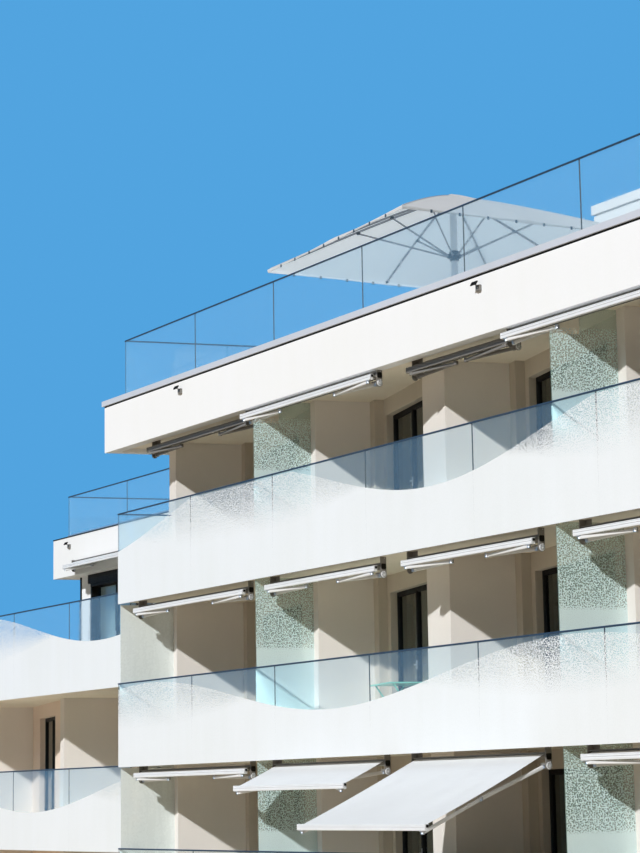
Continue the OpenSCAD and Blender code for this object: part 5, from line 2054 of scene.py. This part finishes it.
def turned_to(right: Array, over: Array, back: Array, at: Triple = (0.0, 0.0, 0.0)) -> Matrix:
    """The matrix of something that looks away from its back direction.

    Args:
        right: What becomes its X axis.
        over: What becomes its Y axis.
        back: What becomes its Z axis.
        at: Where it stands.

    Returns:
        The matrix.
    """
    turn = np.eye(4)
    turn[:3] = np.column_stack([right, over, back, at])
    return Matrix(turn.tolist())


@dataclass
class Studio:
    """Camera, lamps, world and floor."""

    eye: Triple = (41.516, -9.722, 5.05)
    heading: Span = (-0.95791, 0.28630)
    pitch: float = math.radians(9.393)
    roll: float = math.radians(-0.964)
    sensor: float = 36.0
    lens: float = 2263 / 853 * 36
    sight: float = 2000.0
    towards_sun: Triple = (0.78, -1.0, 0.8185)
    sun: float = 3.5
    sun_colour: Triple = (0.96, 0.98, 1.0)
    sun_angle: float = math.radians(1.6)
    ambient: float = 0.06
    ambient_colour: Triple = (1.0, 0.85, 0.66)
    backdrop: Triple = (0.085, 0.37, 0.74)
    floor_colour: Triple = (0.62, 0.51, 0.37)
    floor_half: float = 900.0
    floor_z: float = -0.002

    def build(self) -> None:
        """Sets the stage."""
        self.camera()
        self.lamp()
        self.world()
        self.floor()

    def stand(self, name: str, data: bpy.types.ID, matrix: Matrix) -> bpy.types.Object:
        """Puts a camera or a lamp into the scene."""
        made = bpy.data.objects.new(name, data)
        made.matrix_world = matrix
        bpy.context.scene.collection.objects.link(made)
        return made

    def camera(self) -> None:
        """A camera at the photograph's angle: it looks along the heading, raised by the pitch."""
        h = np.array([*self.heading, 0.0]) / math.hypot(*self.heading)
        ahead = h * math.cos(self.pitch) + UP * math.sin(self.pitch)
        right = np.cross(ahead, UP)
        right /= np.linalg.norm(right)
        over = np.cross(right, ahead)
        c, s = math.cos(self.roll), math.sin(self.roll)
        data = bpy.data.cameras.new("camera")
        data.lens, data.sensor_width, data.clip_end = self.lens, self.sensor, self.sight
        matrix = turned_to(right * c + over * s, over * c - right * s, -ahead, self.eye)
        bpy.context.scene.camera = self.stand("camera", data, matrix)

    def lamp(self) -> None:
        """One broad key light from the front right."""
        data = bpy.data.lights.new("key", "SUN")
        data.energy, data.color, data.angle = self.sun, self.sun_colour, self.sun_angle
        back = np.array(self.towards_sun) / np.linalg.norm(self.towards_sun)
        side = np.cross(UP, back)
        side /= np.linalg.norm(side)
        self.stand("key", data, turned_to(side, np.cross(back, side), back))

    def world(self) -> None:
        """Even light, and a plain backdrop where the camera, gloss or glass looks at it."""
        world = bpy.data.worlds.new("studio")
        world.use_nodes = True
        bpy.context.scene.world = world
        world.node_tree.nodes.clear()
        g = Graph(world.node_tree)
        path = g.node("LightPath").outputs
        seen = g.math("MAXIMUM", g.math("MAXIMUM", path["Is Camera Ray"], path["Is Glossy Ray"]),
                      path["Is Transmission Ray"])
        light = g.node("Background", {"Color": self.ambient_colour, "Strength": self.ambient})
        plain = g.node("Background", {"Color": self.backdrop})
        mix = g.node("MixShader", {0: seen, 1: light.outputs[0], 2: plain.outputs[0]})
        g.node("OutputWorld", {"Surface": mix.outputs[0]})

    def floor(self) -> None:
        """A wide plain floor under the block."""
        mesh = bpy.data.meshes.new("studio_floor")
        far, z = self.floor_half, self.floor_z
        mesh.from_pydata([(-far, -far, z), (far, -far, z), (far, far, z), (-far, far, z)], [], [(0, 1, 2, 3)])
        mesh.materials.append(Finish("studio_floor", self.floor_colour, 0.9).material())
        floor = bpy.data.objects.new("studio_floor", mesh)
        bpy.context.scene.collection.objects.link(floor)


def main() -> None:
    """Builds the block's looks in order."""
    logging.basicConfig(level=logging.INFO, format="%(name)s %(message)s", stream=sys.stdout)
    bpy.context.scene.view_settings.view_transform = "Standard"
    for assembly in (Studio(), Structure(), GlassPrint(), Joinery(), Curtains(), Awnings(), Parasol(),
                     Rails(), Terrace(), Edges()):
        assembly.build()
        log.info("%s done", type(assembly).__name__)
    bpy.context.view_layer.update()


if __name__ == "__main__":
    main()
